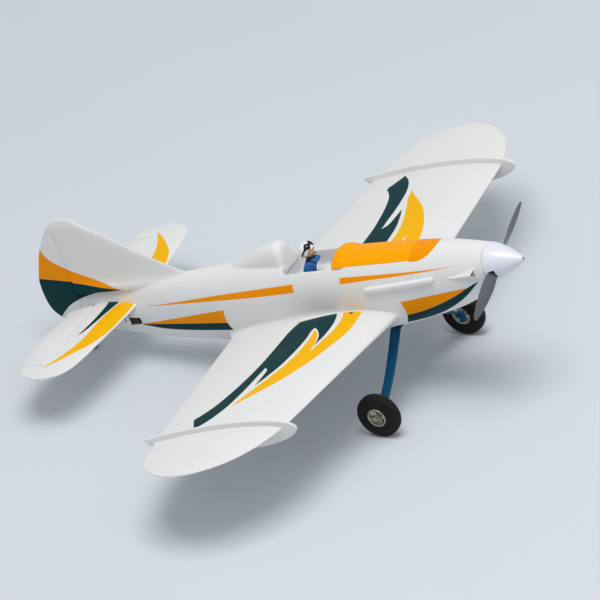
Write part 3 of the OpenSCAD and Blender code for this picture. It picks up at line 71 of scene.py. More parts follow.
WING_THICK, FENCE_THIN, WING_CAMBER, EDGE_T = 0.105, 0.5, 0.02, 1.8
FENCE_LEN, FENCE_UP, FENCE_DOWN, FENCE_T = 284, 18, 33, 5
FENCE_FORE, FENCE_LIFT, FENCE_RIM = 3, 3, 2
WING_SCREW_S, WING_SCREW_Y, WING_SCREW_R = 304.3, 57, 3
STAB_Z, STAB_SPAN, STAB_LE, STAB_T, STAB_CHORD = -11, 440, 717, 9, 126
ELEVATOR_HINGE, ELEVATOR_END = STAB_LE + 87, 178
FIN_LE, FIN_TOP, FIN_T, FIN_ROOT_Z, FIN_RUN = 620, 143, 9, 28, 183
RUDDER_HINGE, RUDDER_TOP, RUDDER_BOTTOM, RUDDER_CHORD = 832, 129, -44, 64.5
NOSE_ROUND, MOVE_GAP = 3.6, 0.6
PROP_D, PROP_ANGLE, BLADE_CHORD, BLADE_T = 228, radians(19), 21, 3.6
MOUNT_R, FIRE_RUN, FIRE_T, BAY_FLOOR = 24.6, 46, 10, -30
AXLE_S, AXLE_DROP, TRACK = 264, 168, 284
TYRE_D, TYRE_W, HUB_D = 72, 22, 31
LEG_T, LEG_TOP_W, LEG_FOOT_W, LEG_BOW, LEG_LEAD = 3, 18.5, 16, 5, 3
TAIL_WHEEL_D, TAIL_WHEEL_W, TAIL_TRAIL, TAIL_AXLE_DROP = 23, 8, 14, 80
SERVO_S, SERVO_L, SERVO_W, SERVO_H = 740, 22.5, 12, 19
HELMET_D, HEAD_Z = 26, 49

# Sizes that follow from them.
NOSE_S = SPINNER_LEN + SPINNER_GAP
NOSE_R = SPINNER_D / 2
POST_S = RUDDER_HINGE - NOSE_ROUND - MOVE_GAP
HATCH_END = HATCH_FRONT + HATCH_LEN
TUB_END = HATCH_END + TUB_LEN
ROOT_Y = CABIN_W / 2
TIP_Y = WING_SPAN / 2
FENCE_LE = WING_LE + FENCE_SWEEP
STAB_TIP = STAB_SPAN / 2
PILOT_S = TUB_END - 39


# Curves through a few table rows.
def mix(a, b, share):
    return a + (b - a) * share


def ease(share):
    share = max(0, min(1, share))
    return share * share * (3 - 2 * share)


def slope(table, i, column):
    before, after = table[max(0, i - 1)], table[min(len(table) - 1, i + 1)]
    return (after[column] - before[column]) / (after[0] - before[0])


def curve(table, x, column=1):
    """Smooth curve through rows of [position, value, ...]."""
    i = 0
    while i < len(table) - 2 and x >= table[i + 1][0]:
        i += 1
    run = table[i + 1][0] - table[i][0]
    u = max(0, min(1, (x - table[i][0]) / run))
    return ((2 * u**3 - 3 * u * u + 1) * table[i][column] + (3 * u * u - 2 * u**3) * table[i + 1][column]
            + (u**3 - 2 * u * u + u) * run * slope(table, i, column)
            + (u**3 - u * u) * run * slope(table, i + 1, column))


def steps(count, low=0.0, high=1.0):
    return [mix(low, high, k / count) for k in range(count + 1)]


# Body outline: share of the way, then shares of the change in half width, top and bottom.
NOSE_SHAPE = [[0, 0, 0, 0], [0.16, 0.3, 0.46, 0.34], [0.37, 0.62, 0.83, 0.61], [0.63, 0.85, 0.98, 0.8]]
TAIL_SHAPE = [[0, 0, 0, 0], [0.14, 0, 0, -0.05], [0.27, 0.05, 0.05, -0.09], [0.41, 0.15, 0.18, -0.1],
              [0.55, 0.31, 0.33, -0.07], [0.71, 0.5, 0.57, 0.18], [0.82, 0.64, 0.72, 0.42],
              [0.9, 0.8, 0.84, 0.67], [1, 1, 1, 1]]
BODY = ([[mix(NOSE_S, CABIN_S, n[0]), mix(NOSE_R, CABIN_W / 2, n[1]), mix(NOSE_R, CABIN_TOP, n[2]),
          -mix(NOSE_R + CHIN_STEP, BELLY, n[3])] for n in NOSE_SHAPE]
        + [[mix(CABIN_S, POST_S, n[0]), mix(CABIN_W / 2, POST_W / 2, n[1]), mix(CABIN_TOP, POST_TOP, n[2]),
            -mix(BELLY, POST_BOTTOM, n[3])] for n in TAIL_SHAPE])


def half_w(s):
    return curve(BODY, s, 1)


def mid_z(s):
    return (curve(BODY, s, 2) + curve(BODY, s, 3)) / 2


def half_h(s):
    return (curve(BODY, s, 2) - curve(BODY, s, 3)) / 2


def fullness(s):
    return mix(2, FULLNESS, ease((s - NOSE_S) / (CABIN_S - NOSE_S)) * ease((POST_S - s) / 300))


def crest(s):
    """Fullness of the upper half, which narrows to a ridge ahead of the fin."""
    return mix(fullness(s), CREST_FULL, ease((s - CREST_S) / CREST_RUN))


def side_y(s, z):
    """Half width of the body at a height."""
    n = crest(s) if z > mid_z(s) else fullness(s)
    return half_w(s) * max(0, 1 - min(1, abs((z - mid_z(s)) / half_h(s))) ** n) ** (1 / n)


def under_z(s, y):
    """Height of the body's underside at a distance from the centre."""
    n = fullness(s)
    return mid_z(s) - half_h(s) * max(0, 1 - min(1, abs(y / half_w(s))) ** n) ** (1 / n)


def power(value, exponent):
    return abs(value) ** exponent * (1 if value >= 0 else -1)


# Mesh helpers.
def loft(rings):
    """Closed skin over rings of points, each end closed by a face."""
    bm = bmesh.new()
    loops = []
    for ring in rings:
        verts = bmesh.ops.create_circle(bm, segments=len(ring), radius=1)["verts"]
        for vert, point in zip(verts, ring):
            vert.co = point
        loops.append(list(dict.fromkeys(edge for vert in verts for edge in vert.link_edges)))
    for one, two in zip(loops, loops[1:]):
        bmesh.ops.bridge_loops(bm, edges=one + two)
    for loop in (loops[0], loops[-1]):
        bmesh.ops.contextual_create(bm, geom=loop)
    bmesh.ops.recalc_face_normals(bm, faces=bm.faces)
    return bm


def turned(profile, place, axis, count=96):
    """Profile of (radius, distance) points spun round an axis through a place."""
    bm = bmesh.new()
    axis = Vector(axis)
    out = axis.orthogonal().normalized()
    verts = [bm.verts.new(Vector(place) + out * radius + axis * along) for radius, along in profile]
    edges = [bm.edges.new(pair) for pair in zip(verts, verts[1:])]
    bmesh.ops.spin(bm, geom=verts + edges, cent=place, axis=axis, angle=tau, steps=count, use_merge=True)
    bmesh.ops.remove_doubles(bm, verts=bm.verts, dist=0.001)
    bmesh.ops.recalc_face_normals(bm, faces=bm.faces)
    return bm


def block(s0, s1, y0, y1, z0, z1):
    """Box between two stations, two distances to the left and two heights."""
    bm = bmesh.new()
    middle = Matrix.Translation((-(s0 + s1) / 2, (y0 + y1) / 2, (z0 + z1) / 2))
    bmesh.ops.create_cube(bm, size=1, matrix=middle @ Matrix.Diagonal((s1 - s0, y1 - y0, z1 - z0, 1)))
    return bm


def hull(points):
    """Tight skin round a few points."""
    bm = bmesh.new()
    bmesh.ops.convex_hull(bm, input=[bm.verts.new(point) for point in points])
    bmesh.ops.recalc_face_normals(bm, faces=bm.faces)
    return bm


def ball(place, radius, detail=3):
    bm = bmesh.new()
    bmesh.ops.create_icosphere(bm, subdivisions=detail, radius=radius, matrix=Matrix.Translation(place))
    return bm


def rod(radius, start, end, sides=32):
    """Round bar between two points."""
    start, end = Vector(start), Vector(end)
    run = end - start
    bm = bmesh.new()
    lie = Matrix.Translation((start + end) / 2) @ run.to_track_quat("Z", "Y").to_matrix().to_4x4()
    bmesh.ops.create_cone(bm, cap_ends=True, segments=sides, radius1=radius, radius2=radius,
                          depth=run.length, matrix=lie)
    return bm


def softened(bm, width, segments=2, angle=30):
    """Rounds every edge that is sharper than an angle."""
    edges = [e for e in bm.edges if e.is_manifold and e.calc_face_angle(0) > radians(angle)]
    bmesh.ops.bevel(bm, geom=edges, offset=width, offset_type="OFFSET", affect="EDGES", segments=segments,
                    profile=0.5, material=-1, clamp_overlap=True)
    return bm


def flipped(bm):
    """The same shape on the other side of the aeroplane."""
    bm.transform(Matrix.Scale(-1, 4, (0, 1, 0)))
    bmesh.ops.reverse_faces(bm, faces=bm.faces)
    return bm


def joined(*parts):
    """Several meshes as one."""
    whole = bmesh.new()
    for part in parts:
        mesh = bpy.data.meshes.new("part")
        part.to_mesh(mesh)
        part.free()
        whole.from_mesh(mesh)
        bpy.data.meshes.remove(mesh)
    return whole


def bench(bm):
    """A working object that holds a mesh while modifiers act on it."""
    mesh = bpy.data.meshes.new("bench")
    bm.to_mesh(mesh)
    bm.free()
    work = bpy.data.objects.new("bench", mesh)
    bpy.context.scene.collection.objects.link(work)
    return work


def lifted(work, *tools):
    """The finished mesh of a working object, which is cleared away with its tools."""
    bpy.context.view_layer.update()
    mesh = bpy.data.meshes.new_from_object(work.evaluated_get(bpy.context.evaluated_depsgraph_get()))
    bm = bmesh.new()
    bm.from_mesh(mesh)
    for old in [mesh] + [obj.data for obj in (work, *tools)]:
        bpy.data.meshes.remove(old)
    return bm


def carved(bm, *cutters):
    """A mesh with each cutter's shape taken out of it."""
    work = bench(bm)
    tools = [bench(cutter) for cutter in cutters]
    for tool in tools:
        cut = work.modifiers.new("cut", "BOOLEAN")
        cut.operation, cut.solver, cut.object = "DIFFERENCE", "EXACT", tool
    return lifted(work, *tools)


def fused(bm, grain, passes):
    """One moulded skin over all the shells of a mesh, with its inner corners filled."""
    work = bench(bm)
    skin = work.modifiers.new("fuse", "REMESH")
    skin.mode, skin.voxel_size = "VOXEL", grain
    bm = lifted(work)
    for _ in range(passes):
        bmesh.ops.smooth_vert(bm, verts=bm.verts, factor=0.5,
                              use_axis_x=True, use_axis_y=True, use_axis_z=True)
    return bm


def half(bm, side):
    """The part of a mesh on one side of the middle, closed along the cut."""
    bmesh.ops.bisect_plane(bm, geom=bm.verts[:] + bm.edges[:] + bm.faces[:], dist=0.0001,
                           plane_co=(0, 0, 0), plane_no=(0, -side, 0), clear_outer=True)
    bmesh.ops.triangle_fill(bm, edges=[e for e in bm.edges if e.is_boundary], use_beauty=True)
    bmesh.ops.recalc_face_normals(bm, faces=bm.faces)
    return bm


def piece(name, bm, body, slot, paints, *nodes, smooth=35, pick=None):
    """Finished object: rides on a body, takes the finish of its paints and stands for CAD nodes; slot is not
    used.

    pick gives each face the number of its paint.
    """
    if pick:
        for face in bm.faces:
            face.material_index = pick(face)
    bm.transform(STANCE)
    mesh = bpy.data.meshes.new(name)
    bm.to_mesh(mesh)
    bm.free()
    for paint in paints if isinstance(paints, (list, tuple)) else [paints]:
        mesh.materials.append(paint.material)
    mesh.shade_smooth()
    mesh.set_sharp_from_angle(angle=radians(smooth))
    obj = bpy.data.objects.new(name, mesh)
    bpy.context.scene.collection.objects.link(obj)
    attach(obj, body)
    if nodes:
        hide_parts(*nodes)
    return obj


SIDES = ("left", "right")


def handed(make, side):
    """A shape that is made for the left, mirrored for the right."""
    return make() if side == "left" else flipped(make())


def pair(name, make, body, slot, paints, node=None, **looks):
    """A piece on the left and its mirror image on the right. A star in a name stands for the side."""
    for side in SIDES:
        nodes = [node.replace("*", side)] if node else []
        piece(name.replace("*", side), handed(make, side), body, slot, paints, *nodes, **looks)


def topside(face):
    """Paint 0 for faces that look up, and 1 for the others."""
    return 0 if face.normal.z > 0 else 1


# Paints.
class Wire:
    """A node's output that adds Math nodes when it is used in arithmetic."""

    def __init__(self, paint, socket):
        self.paint, self.socket = paint, socket

    def math(self, operation, *values, clamp=False):
        settings = {"operation": operation, "use_clamp": clamp}
        return self.paint.add("ShaderNodeMath", settings, dict(enumerate(values)))

    def __add__(self, other):
        return self.math("ADD", self, other)

    __radd__ = __add__

    def __sub__(self, other):
        return self.math("SUBTRACT", self, other)

    def __rsub__(self, other):
        return self.math("SUBTRACT", other, self)

    def __mul__(self, other):
        return self.math("MULTIPLY", self, other)

    __rmul__ = __mul__

    def __truediv__(self, other):
        return self.math("DIVIDE", self, other)

    def __neg__(self):
        return self.math("MULTIPLY", self, -1)

    def __abs__(self):
        return self.math("ABSOLUTE", self)

    def __or__(self, other):
        return self.math("MAXIMUM", self, other)

    def over(self, soft=0.5):
        """1 where the value is above zero, with an edge as wide as soft."""
        return self.math("MULTIPLY_ADD", self, 1 / soft, 0.5, clamp=True)

    def between(self, low, high, soft=0.5):
        return (self - low).over(soft) * (high - self).over(soft)


class Paint:
    """One procedural material. Constants go straight to the shader's own sockets."""

    def __init__(self, name, **constants):
        self.name, self.material = name, bpy.data.materials.new(name)
        self.material.use_nodes = True
        self.tree = self.material.node_tree
        self.shader = self.tree.nodes["Principled BSDF"]
        for socket, value in constants.items():
            self.shader.inputs[socket.replace("_", " ")].default_value = value

    def add(self, kind, settings=None, sockets=None, out=0):
        """Node of a kind, with its settings set first and its sockets then given values or links."""
        node = self.tree.nodes.new(kind)
        for key, value in (settings or {}).items():
            if key == "points":
                line = node.mapping.curves[0].points
                while len(line) < len(value):
                    line.new(0.5, 0.5)
                for point, place in zip(line, value):
                    point.location, point.handle_type = place, "AUTO_CLAMPED"
                node.mapping.update()
            else:
                setattr(node, key, value)
        for key, value in (sockets or {}).items():
            self.plug(node.inputs[key], value)
        return Wire(self, node.outputs[out])

    def plug(self, socket, value):
        if isinstance(value, Wire):
            self.tree.links.new(value.socket, socket)
        else:
            socket.default_value = value

    def feed(self, **sockets):
        for socket, value in sockets.items():
            self.plug(self.shader.inputs[socket.replace("_", " ")], value)
        return self

    def place(self):
        """Object coordinates, in metres."""
        return self.add("ShaderNodeTexCoord", out="Object")

    def axes(self):
        """Station, distance to the left and height in the aeroplane's own axes, in mm."""
        back = Matrix.Rotation(PITCH, 3, "Y")
        spot = self.add("ShaderNodeMapping", {"vector_type": "POINT"}, {
            "Vector": self.place(), "Scale": (1 / MM,) * 3, "Rotation": (0, PITCH, 0),
            "Location": back @ TIP * (-1 / MM)})
        split = [self.add("ShaderNodeSeparateXYZ", None, {0: spot}, out=k) for k in range(3)]
        return -split[0], split[1], split[2]

    def grain(self, scale, detail):
        """Cloudy change from place to place, of a number of repeats per metre."""
        return self.add("ShaderNodeTexNoise", None,
                        {"Vector": self.place(), "Scale": scale, "Detail": detail})

    def cells(self, scale):
        """Soft round cells, of a number of repeats per metre."""
        return self.add("ShaderNodeTexVoronoi", {"feature": "SMOOTH_F1"},
                        {"Vector": self.place(), "Scale": scale}, out="Distance")

    def blend(self, share, one, two):
        """Colour one turned into colour two by a share."""
        return self.add("ShaderNodeMix", {"data_type": "RGBA"}, {0: share, 6: one, 7: two}, out=2)

    def edge(self, along, rows):
        """Height of a smooth line through rows of (place along, height)."""
        low, high = min(r[1] for r in rows), max(r[1] for r in rows)
        first, last = rows[0][0], rows[-1][0]
        shape = [((r[0] - first) / (last - first), (r[1] - low) / ((high - low) or 1)) for r in rows]
        share = (along - first) / (last - first)
        return self.add("ShaderNodeFloatCurve", {"points": shape}, {"Value": share}) * (high - low) + low

    def bump(self, height, strength, depth):
        return self.add("ShaderNodeBump", None, {"Height": height, "Strength": strength, "Distance": depth})


def srgb(red, green, blue):
    """Colour of a screen value from 0 to 255, as the shader counts it."""
    def line(v):
        v /= 255
        return v / 12.92 if v <= 0.04045 else ((v + 0.055) / 1.055) ** 2.4
    return (line(red), line(green), line(blue), 1)


WHITE = srgb(231, 231, 229)
ORANGE = srgb(247, 150, 0)
YELLOW = srgb(247, 184, 0)
GREEN = srgb(8, 56, 60)
SCUFF_GREY = (0.5, 0.5, 0.48, 1)
SHADE_GREY = (0.45, 0.45, 0.43, 1)

# Foam skin: repeats per metre of its beads, its pores and its drift of shade.
BEADS, PORES, DRIFT = 330, 1600, 18
FOAM_BUMP, FOAM_BUMP_DEPTH = 0.12, 0.0004
MATT = {"Specular_IOR_Level": 0.06}


def foam(paint, colour, rough=0.5):
    """Moulded foam: fine beads pressed flat. A single colour also gets a slight change of shade."""
    bead = paint.cells(BEADS)
    shade = paint.grain(DRIFT, 3)
    tone = colour if isinstance(colour, Wire) else paint.blend(shade * 0.1, colour, SCUFF_GREY)
    skin = bead * 0.6 + paint.grain(PORES, 2) * 0.4
    return paint.feed(Base_Color=tone, Roughness=rough + (shade - 0.5) * 0.15,
                      Normal=paint.bump(skin, FOAM_BUMP, FOAM_BUMP_DEPTH))


def trimmed(paint, dark, bright, colour):
    """White foam with the shares of a dark field and of a bright one laid over it."""
    white = paint.blend(paint.grain(DRIFT, 3) * 0.06, WHITE, SHADE_GREY)
    return paint.blend(bright, paint.blend(dark, white, GREEN), colour)


# Wing trim, as stations at distances from the centre: a dark field with two forward points and a long
# tail, and a yellow band ahead of it.
WING_DARK_AFT = [(50, 396), (63, 399), (100, 405), (140, 405), (190, 407), (225, 412), (260, 420),
                 (290, 430), (305, 439), (314, 445.2), (322.5, 451), (323.5, 451), (330, 447.4),
                 (352, 435), (366, 427)]
WING_DARK_TAIL = [(50, 389), (200, 389), (215, 390.5), (240, 392), (260, 394), (280, 397), (300, 401),
                  (317, 407), (334, 416), (350, 430), (366, 447)]
WING_DARK_FEATHER = [(50, 391), (188, 391), (196, 386), (204, 380.5), (215, 379.5), (246, 379), (366, 379)]
WING_DARK_FRONT = [(50, 354), (90, 354), (100, 355), (121, 352.5), (142, 353), (166, 355), (195, 360),
                   (212, 365.5), (228, 371), (246, 379), (270, 390), (366, 430)]
WING_PRONG_AFT = [(50, 356), (86, 356), (91, 353), (94, 349), (102, 341), (111, 334.5), (122, 329),
                  (133, 326), (146, 324), (170, 320), (366, 290)]
WING_PRONG_FRONT = [(50, 333), (55, 331), (74, 324), (90, 321), (113, 320), (131, 322), (146, 324),
                    (170, 329), (366, 380)]
WING_YELLOW_FRONT = [(50, 285), (102, 281), (123, 284), (140, 289), (160, 295), (180, 302), (200, 311),
                     (220, 322), (240, 335), (258, 350), (274, 365), (289, 380), (303, 391), (330, 415),
                     (366, 440)]
WING_YELLOW_AFT = [(50, 352), (97, 352), (100, 350), (104, 348.5), (119, 346), (140, 345), (160, 345),
                   (180, 348), (200, 353), (220, 360), (240, 368), (258, 376), (278, 385), (303, 391),
                   (366, 400)]
WING_TONGUE_FRONT = [(50, 353), (97, 353), (99, 349), (101, 345), (110, 338), (122, 332), (140, 326),
                     (161, 322), (190, 312), (366, 280)]
WING_YELLOW_INNER = [(50, 321), (53, 320), (73, 313), (94, 311), (112, 312), (131, 316), (149, 320),
                     (161, 322), (190, 330), (366, 400)]
# The dark field starts along a raked line by the root, the yellow band along a straight one.
WING_DARK_ROOT, WING_DARK_ROOT_S, WING_DARK_RAKE = 55, 331, 0.118
WING_YELLOW_ROOT, WING_TRIM_END = 53.5, 360


def wing_paint():
    paint = Paint("wing_trim", **MATT)
    s, y, _ = paint.axes()
    out = abs(y)

    def band(front, aft):
        return s.between(paint.edge(out, front), paint.edge(out, aft))
    span = out.between(WING_DARK_ROOT + (s - WING_DARK_ROOT_S) * WING_DARK_RAKE, WING_TRIM_END)
    dark = (band(WING_DARK_TAIL, WING_DARK_AFT) | band(WING_DARK_FRONT, WING_DARK_FEATHER)
            | band(WING_PRONG_FRONT, WING_PRONG_AFT)) * span
    yellow = (band(WING_YELLOW_FRONT, WING_YELLOW_AFT) * (1 - band(WING_YELLOW_INNER, WING_TONGUE_FRONT))
              * out.between(WING_YELLOW_ROOT, WING_TRIM_END))
    return foam(paint, trimmed(paint, dark, yellow, YELLOW), 0.45)


# Tailplane trim in the same way: a yellow band along the leading edge and a dark wedge behind it.
TAIL_YELLOW_FRONT = [(4, 775), (9, 752), (9.5, 742), (12, 731), (17, 724.5), (24, 722.2), (46, 723),
                     (65, 724.5), (87, 727), (100, 729.5), (115, 734), (131, 741), (146, 752), (160, 764),
                     (175, 778), (186, 790), (193, 798.6), (220, 835)]
TAIL_YELLOW_AFT = [(4, 746), (13, 749.5), (22, 753), (45, 758.5), (66, 761), (89, 762), (109, 763),
                   (124, 765.5), (141, 770.5), (156, 777), (170, 784.5), (183, 792.5), (193, 798.4),
                   (220, 812)]
TAIL_DARK_FRONT = [(4, 751), (11, 752.5), (21, 755), (45, 761.5), (70, 767), (93, 774), (104, 782),
                   (220, 860)]
TAIL_DARK_AFT = [(4, 776), (8, 775), (21, 773), (38, 773), (59, 774), (82, 776.5), (104, 782), (220, 840)]


def tail_paint():
    paint = Paint("tail_trim", **MATT)
    s, y, _ = paint.axes()
    out = abs(y)
    yellow = s.between(paint.edge(out, TAIL_YELLOW_FRONT), paint.edge(out, TAIL_YELLOW_AFT))
    dark = s.between(paint.edge(out, TAIL_DARK_FRONT), paint.edge(out, TAIL_DARK_AFT))
    return foam(paint, trimmed(paint, dark, yellow, YELLOW), 0.45)


# Body trim, as heights at stations.
STRIPE_TOP = [(100, 16.5), (310, 18.6), (402, 14.3), (700, -11.9)]
STRIPE_BOTTOM = [(100, 16.4), (310, 9.5), (402, 1.9), (700, -12.1)]
STRIPE_ENDS, STRIPE_GAP = (102, 697), (311, 401)
REAR_FLASH_TOP = [(540, -20.5), (720, -42.5)]
REAR_FLASH_SPLIT = [(540, -45), (720, -43)]
REAR_FLASH_BOTTOM = [(540, -60), (652, -56), (720, -44)]
FRONT_FLASH_TOP = [(72, -21), (94, -21.5), (126, -22.2), (159, -23.9), (185, -26.2), (228, -29.5)]
FRONT_FLASH_SPLIT = [(72, -14), (84, -17.9), (97, -23), (118, -31.7), (139, -39), (168, -47.4),
                     (192, -52.4), (228, -57)]
FRONT_FLASH_BOTTOM = [(72, -14.6), (84, -23.5), (98, -33.5), (115, -43.8), (136, -54), (160, -63.6),
                      (187, -70.5), (228, -74)]
FIN_FLASH_TOP = [(738, 13.5), (777, 30.3), (813, 46.5), (840, 60.5), (856, 72.4), (864, 85), (868, 110),
                 (900, 160)]
FIN_FLASH_SPLIT = [(738, 13.4), (824, 30.3), (900, 42)]
FIN_FLASH_BOTTOM = [(738, 13.3), (761, 12.7), (787, 8.9), (820, 2.5), (842, -4.7), (861, -15), (900, -52)]
CAP_FRONT = [(29, 168), (34, 151), (42, 139), (60, 130)]
CAP_SILL = 29.5
# The inner ends of the flashes are bowed: they bend by a share of the squared height from their middle.
FLASH_MID_Z = -40
REAR_FLASH_INNER, REAR_FLASH_BOW, REAR_FLASH_END = 551, 0.0095, 719
FRONT_FLASH_INNER, FRONT_FLASH_BOW, FRONT_FLASH_END = 213, 0.0137, 73
FIN_FLASH_ENDS = (739, 905)
COCKPIT_LIP = 2


def body_paint():
    paint = Paint("body_trim", **MATT)
    s, y, z = paint.axes()

    def band(bottom, top):
        return z.between(paint.edge(s, bottom), paint.edge(s, top))
    outside = (abs(y) - TUB_W / 2 - COCKPIT_LIP).over() | (s - TUB_END - 5).over()
    stripe_run = s.between(*STRIPE_ENDS) * (1 - s.between(*STRIPE_GAP))
    stripe = band(STRIPE_BOTTOM, STRIPE_TOP) * outside * stripe_run
    bow = (z - FLASH_MID_Z) * (z - FLASH_MID_Z)
    rear = s.between(REAR_FLASH_INNER - bow * REAR_FLASH_BOW, REAR_FLASH_END)
    front = s.between(FRONT_FLASH_END, FRONT_FLASH_INNER + bow * FRONT_FLASH_BOW)
    fin_run = s.between(*FIN_FLASH_ENDS)
    cap = (z - CAP_SILL).over() * s.between(paint.edge(z, CAP_FRONT), HATCH_FRONT + 2)
    orange = (stripe | band(REAR_FLASH_SPLIT, REAR_FLASH_TOP) * rear
              | band(FRONT_FLASH_SPLIT, FRONT_FLASH_TOP) * front
              | band(FIN_FLASH_SPLIT, FIN_FLASH_TOP) * fin_run | cap)
    dark = (band(REAR_FLASH_BOTTOM, REAR_FLASH_SPLIT) * rear
            | band(FRONT_FLASH_BOTTOM, FRONT_FLASH_SPLIT) * front
            | band(FIN_FLASH_BOTTOM, FIN_FLASH_SPLIT) * fin_run)
    return foam(paint, trimmed(paint, dark, orange, ORANGE), 0.42)


def hatch_paint():
    paint = Paint("hatch_orange", **MATT)
    return foam(paint, paint.blend(paint.grain(DRIFT, 3) * 0.5, srgb(255, 170, 0), srgb(250, 150, 0)), 0.38)


def dimmed(colour, share):
    """Colour at a share of its brightness, or above it up to full."""
    return tuple(min(1, v * share) for v in colour[:3]) + (1,)


def moulded(name, colour, rough=0.45, grain=2400, depth=0.0001, shade=0.12, **constants):
    """Moulded plastic or rubber with a fine grain and a slight change of shade."""
    paint = Paint(name, **constants)
    mottle = paint.grain(60, 3)
    return paint.feed(Base_Color=paint.blend(mottle * 2 * shade, colour, dimmed(colour, 0.7)),
                      Roughness=rough + (mottle - 0.5) * 0.2,
                      Normal=paint.bump(paint.grain(grain, 3), 0.2, depth))


def metal(name, colour, rough, stretch=(1, 60, 60)):
    """Bare metal with fine tool marks along one axis."""
    paint = Paint(name, Metallic=1.0)
    lie = paint.add("ShaderNodeMapping", None, {"Vector": paint.place(), "Scale": stretch})
    marks = paint.add("ShaderNodeTexNoise", None, {"Vector": lie, "Scale": 40.0, "Detail": 4.0})
    return paint.feed(Base_Color=paint.blend(marks * 0.5, colour, dimmed(colour, 0.6)),
                      Roughness=rough + (marks - 0.5) * 0.25, Normal=paint.bump(marks, 0.08, 0.0001))


FOAM = foam(Paint("foam_white", **MATT), WHITE)
# Painted shade: grey foam laid on the faces deep inside the scoops' mouths, where the hollow is in shade.
MOUTH_PAINTED_SHADE = foam(Paint("mouth_painted_shade", **MATT), srgb(120, 122, 116))
WING_TRIM = wing_paint()
TAIL_TRIM = tail_paint()
BODY_TRIM = body_paint()
HATCH_ORANGE = hatch_paint()
SPINNER_GLOSS = moulded("spinner_gloss", srgb(230, 230, 240), 0.32, 900, 0.00005, 0.05,
                        Coat_Weight=0.2, Coat_Roughness=0.2)
BLADE_GREY = moulded("propeller_grey", srgb(92, 95, 100), 0.38)
BLACK_PLASTIC = moulded("black_plastic", srgb(24, 24, 26), 0.4)
NYLON = moulded("nylon", srgb(236, 236, 230), 0.4, 2000, 0.00008, 0.08)
RUBBER = moulded("tyre", srgb(24, 23, 21), 0.75, 900, 0.0004, 0.4, Specular_IOR_Level=0.25)
GEAR_BLUE = moulded("gear_blue", srgb(0, 80, 118), 0.45, 3000, 0.00004, 0.15,
                    Specular_IOR_Level=0.2)
STEEL = metal("steel", srgb(196, 198, 202), 0.28)
MAGNET = metal("magnet", srgb(205, 205, 208), 0.15)
HUB_METAL = metal("hub_metal", srgb(206, 202, 186), 0.34, (40, 4, 40))
MOTOR_GREY = metal("motor_grey", srgb(150, 152, 158), 0.3)
CARBON = moulded("carbon", srgb(22, 22, 24), 0.25, 1500, 0.0001, 0.3)
BLACK_SCREW = moulded("black_screw", srgb(20, 20, 21), 0.35, Metallic=0.6)
SHRINK = moulded("heat_shrink", srgb(18, 60, 140), 0.3, 500, 0.0003)
WRAP = moulded("battery_wrap", srgb(34, 36, 110), 0.28, 300, 0.0003)
RECEIVER = moulded("receiver_grey", srgb(84, 86, 90), 0.45)
HELMET = moulded("helmet", srgb(242, 242, 242), 0.22, 900, 0.00004, 0.05, Coat_Weight=0.3)
GOGGLES = moulded("goggles", srgb(16, 16, 18), 0.18)
SKIN = moulded("skin", srgb(234, 172, 128), 0.5, 700, 0.0001, 0.1)


def copper():
    paint = Paint("winding", Metallic=1.0)
    turns = paint.add("ShaderNodeTexWave", {"wave_type": "BANDS", "bands_direction": "X"},
                      {"Vector": paint.place(), "Scale": 900.0, "Distortion": 1.5})
    return paint.feed(Base_Color=paint.blend(turns, srgb(120, 60, 24), srgb(196, 112, 58)),
                      Roughness=0.3 + turns * 0.15, Normal=paint.bump(turns, 0.5, 0.0003))


def weave(name, colour):
    paint = Paint(name, Roughness=0.9)
    warp, weft = (paint.add("ShaderNodeTexWave", {"bands_direction": run},
                            {"Vector": paint.place(), "Scale": 700.0}) for run in "XY")
    cloth = warp * weft
    return paint.feed(Base_Color=paint.blend(cloth, colour, dimmed(colour, 2.2)),
                      Normal=paint.bump(cloth, 0.4, 0.0003))


def plywood():
    paint = Paint("plywood", Roughness=0.7)
    lie = paint.add("ShaderNodeMapping", None, {"Vector": paint.place(), "Scale": (4, 60, 60)})
    veins = paint.add("ShaderNodeTexNoise", None, {"Vector": lie, "Scale": 12.0, "Detail": 5.0})
    return paint.feed(Base_Color=paint.blend(veins, srgb(214, 178, 124), srgb(166, 122, 74)),
                      Normal=paint.bump(veins, 0.2, 0.0003))


COPPER = copper()
STRAP = weave("strap", srgb(26, 26, 28))
PLYWOOD = plywood()

# Harness over the suit: its width, and how its two straps spread with height.
HARNESS_W, HARNESS_Y, HARNESS_Z, HARNESS_SPLAY = 3, 5, 20, 0.33
BUCKLE_Z, COLLAR_Z = (23.2, 26.4), 34.6


def suit_paint():
    """Blue flying suit with a dark collar and two dark straps over the shoulders."""
    paint = Paint("suit", Roughness=0.8)
    _, y, z = paint.axes()
    webbing = (HARNESS_W / 2 - abs(abs(y) - HARNESS_Y - (z - HARNESS_Z) * HARNESS_SPLAY)).over(0.4)
    buckle = webbing * z.between(*BUCKLE_Z, 0.4)
    straps = webbing | (z - COLLAR_Z).over(0.4)
    folds = paint.grain(160, 3)
    cloth = paint.blend(folds * 0.6, srgb(34, 116, 200), srgb(18, 76, 148))
    colour = paint.blend(buckle, paint.blend(straps, cloth, srgb(24, 26, 32)), srgb(150, 152, 156))
    return paint.feed(Base_Color=colour, Normal=paint.bump(folds + straps * 0.6, 0.5, 0.0008))


SUIT = suit_paint()


# Body halves. The stern is moulded a little long, then cut back to the rudder hinge line.
STERN_SPARE = 4


def body_shell():
    stations = [mix(NOSE_S, POST_S, share**1.15) for share in steps(110)] + [POST_S + STERN_SPARE]

    def skin(s):
        w, h, m = half_w(s), half_h(s), mid_z(s)
        points = []
        for a in steps(96, 0, tau)[:-1]:
            e = 2 / (crest(s) if sin(a) > 0 else fullness(s))
            points.append((-s, w * power(cos(a), e), m + h * power(sin(a), e)))
        return points
    return loft([skin(s) for s in stations])


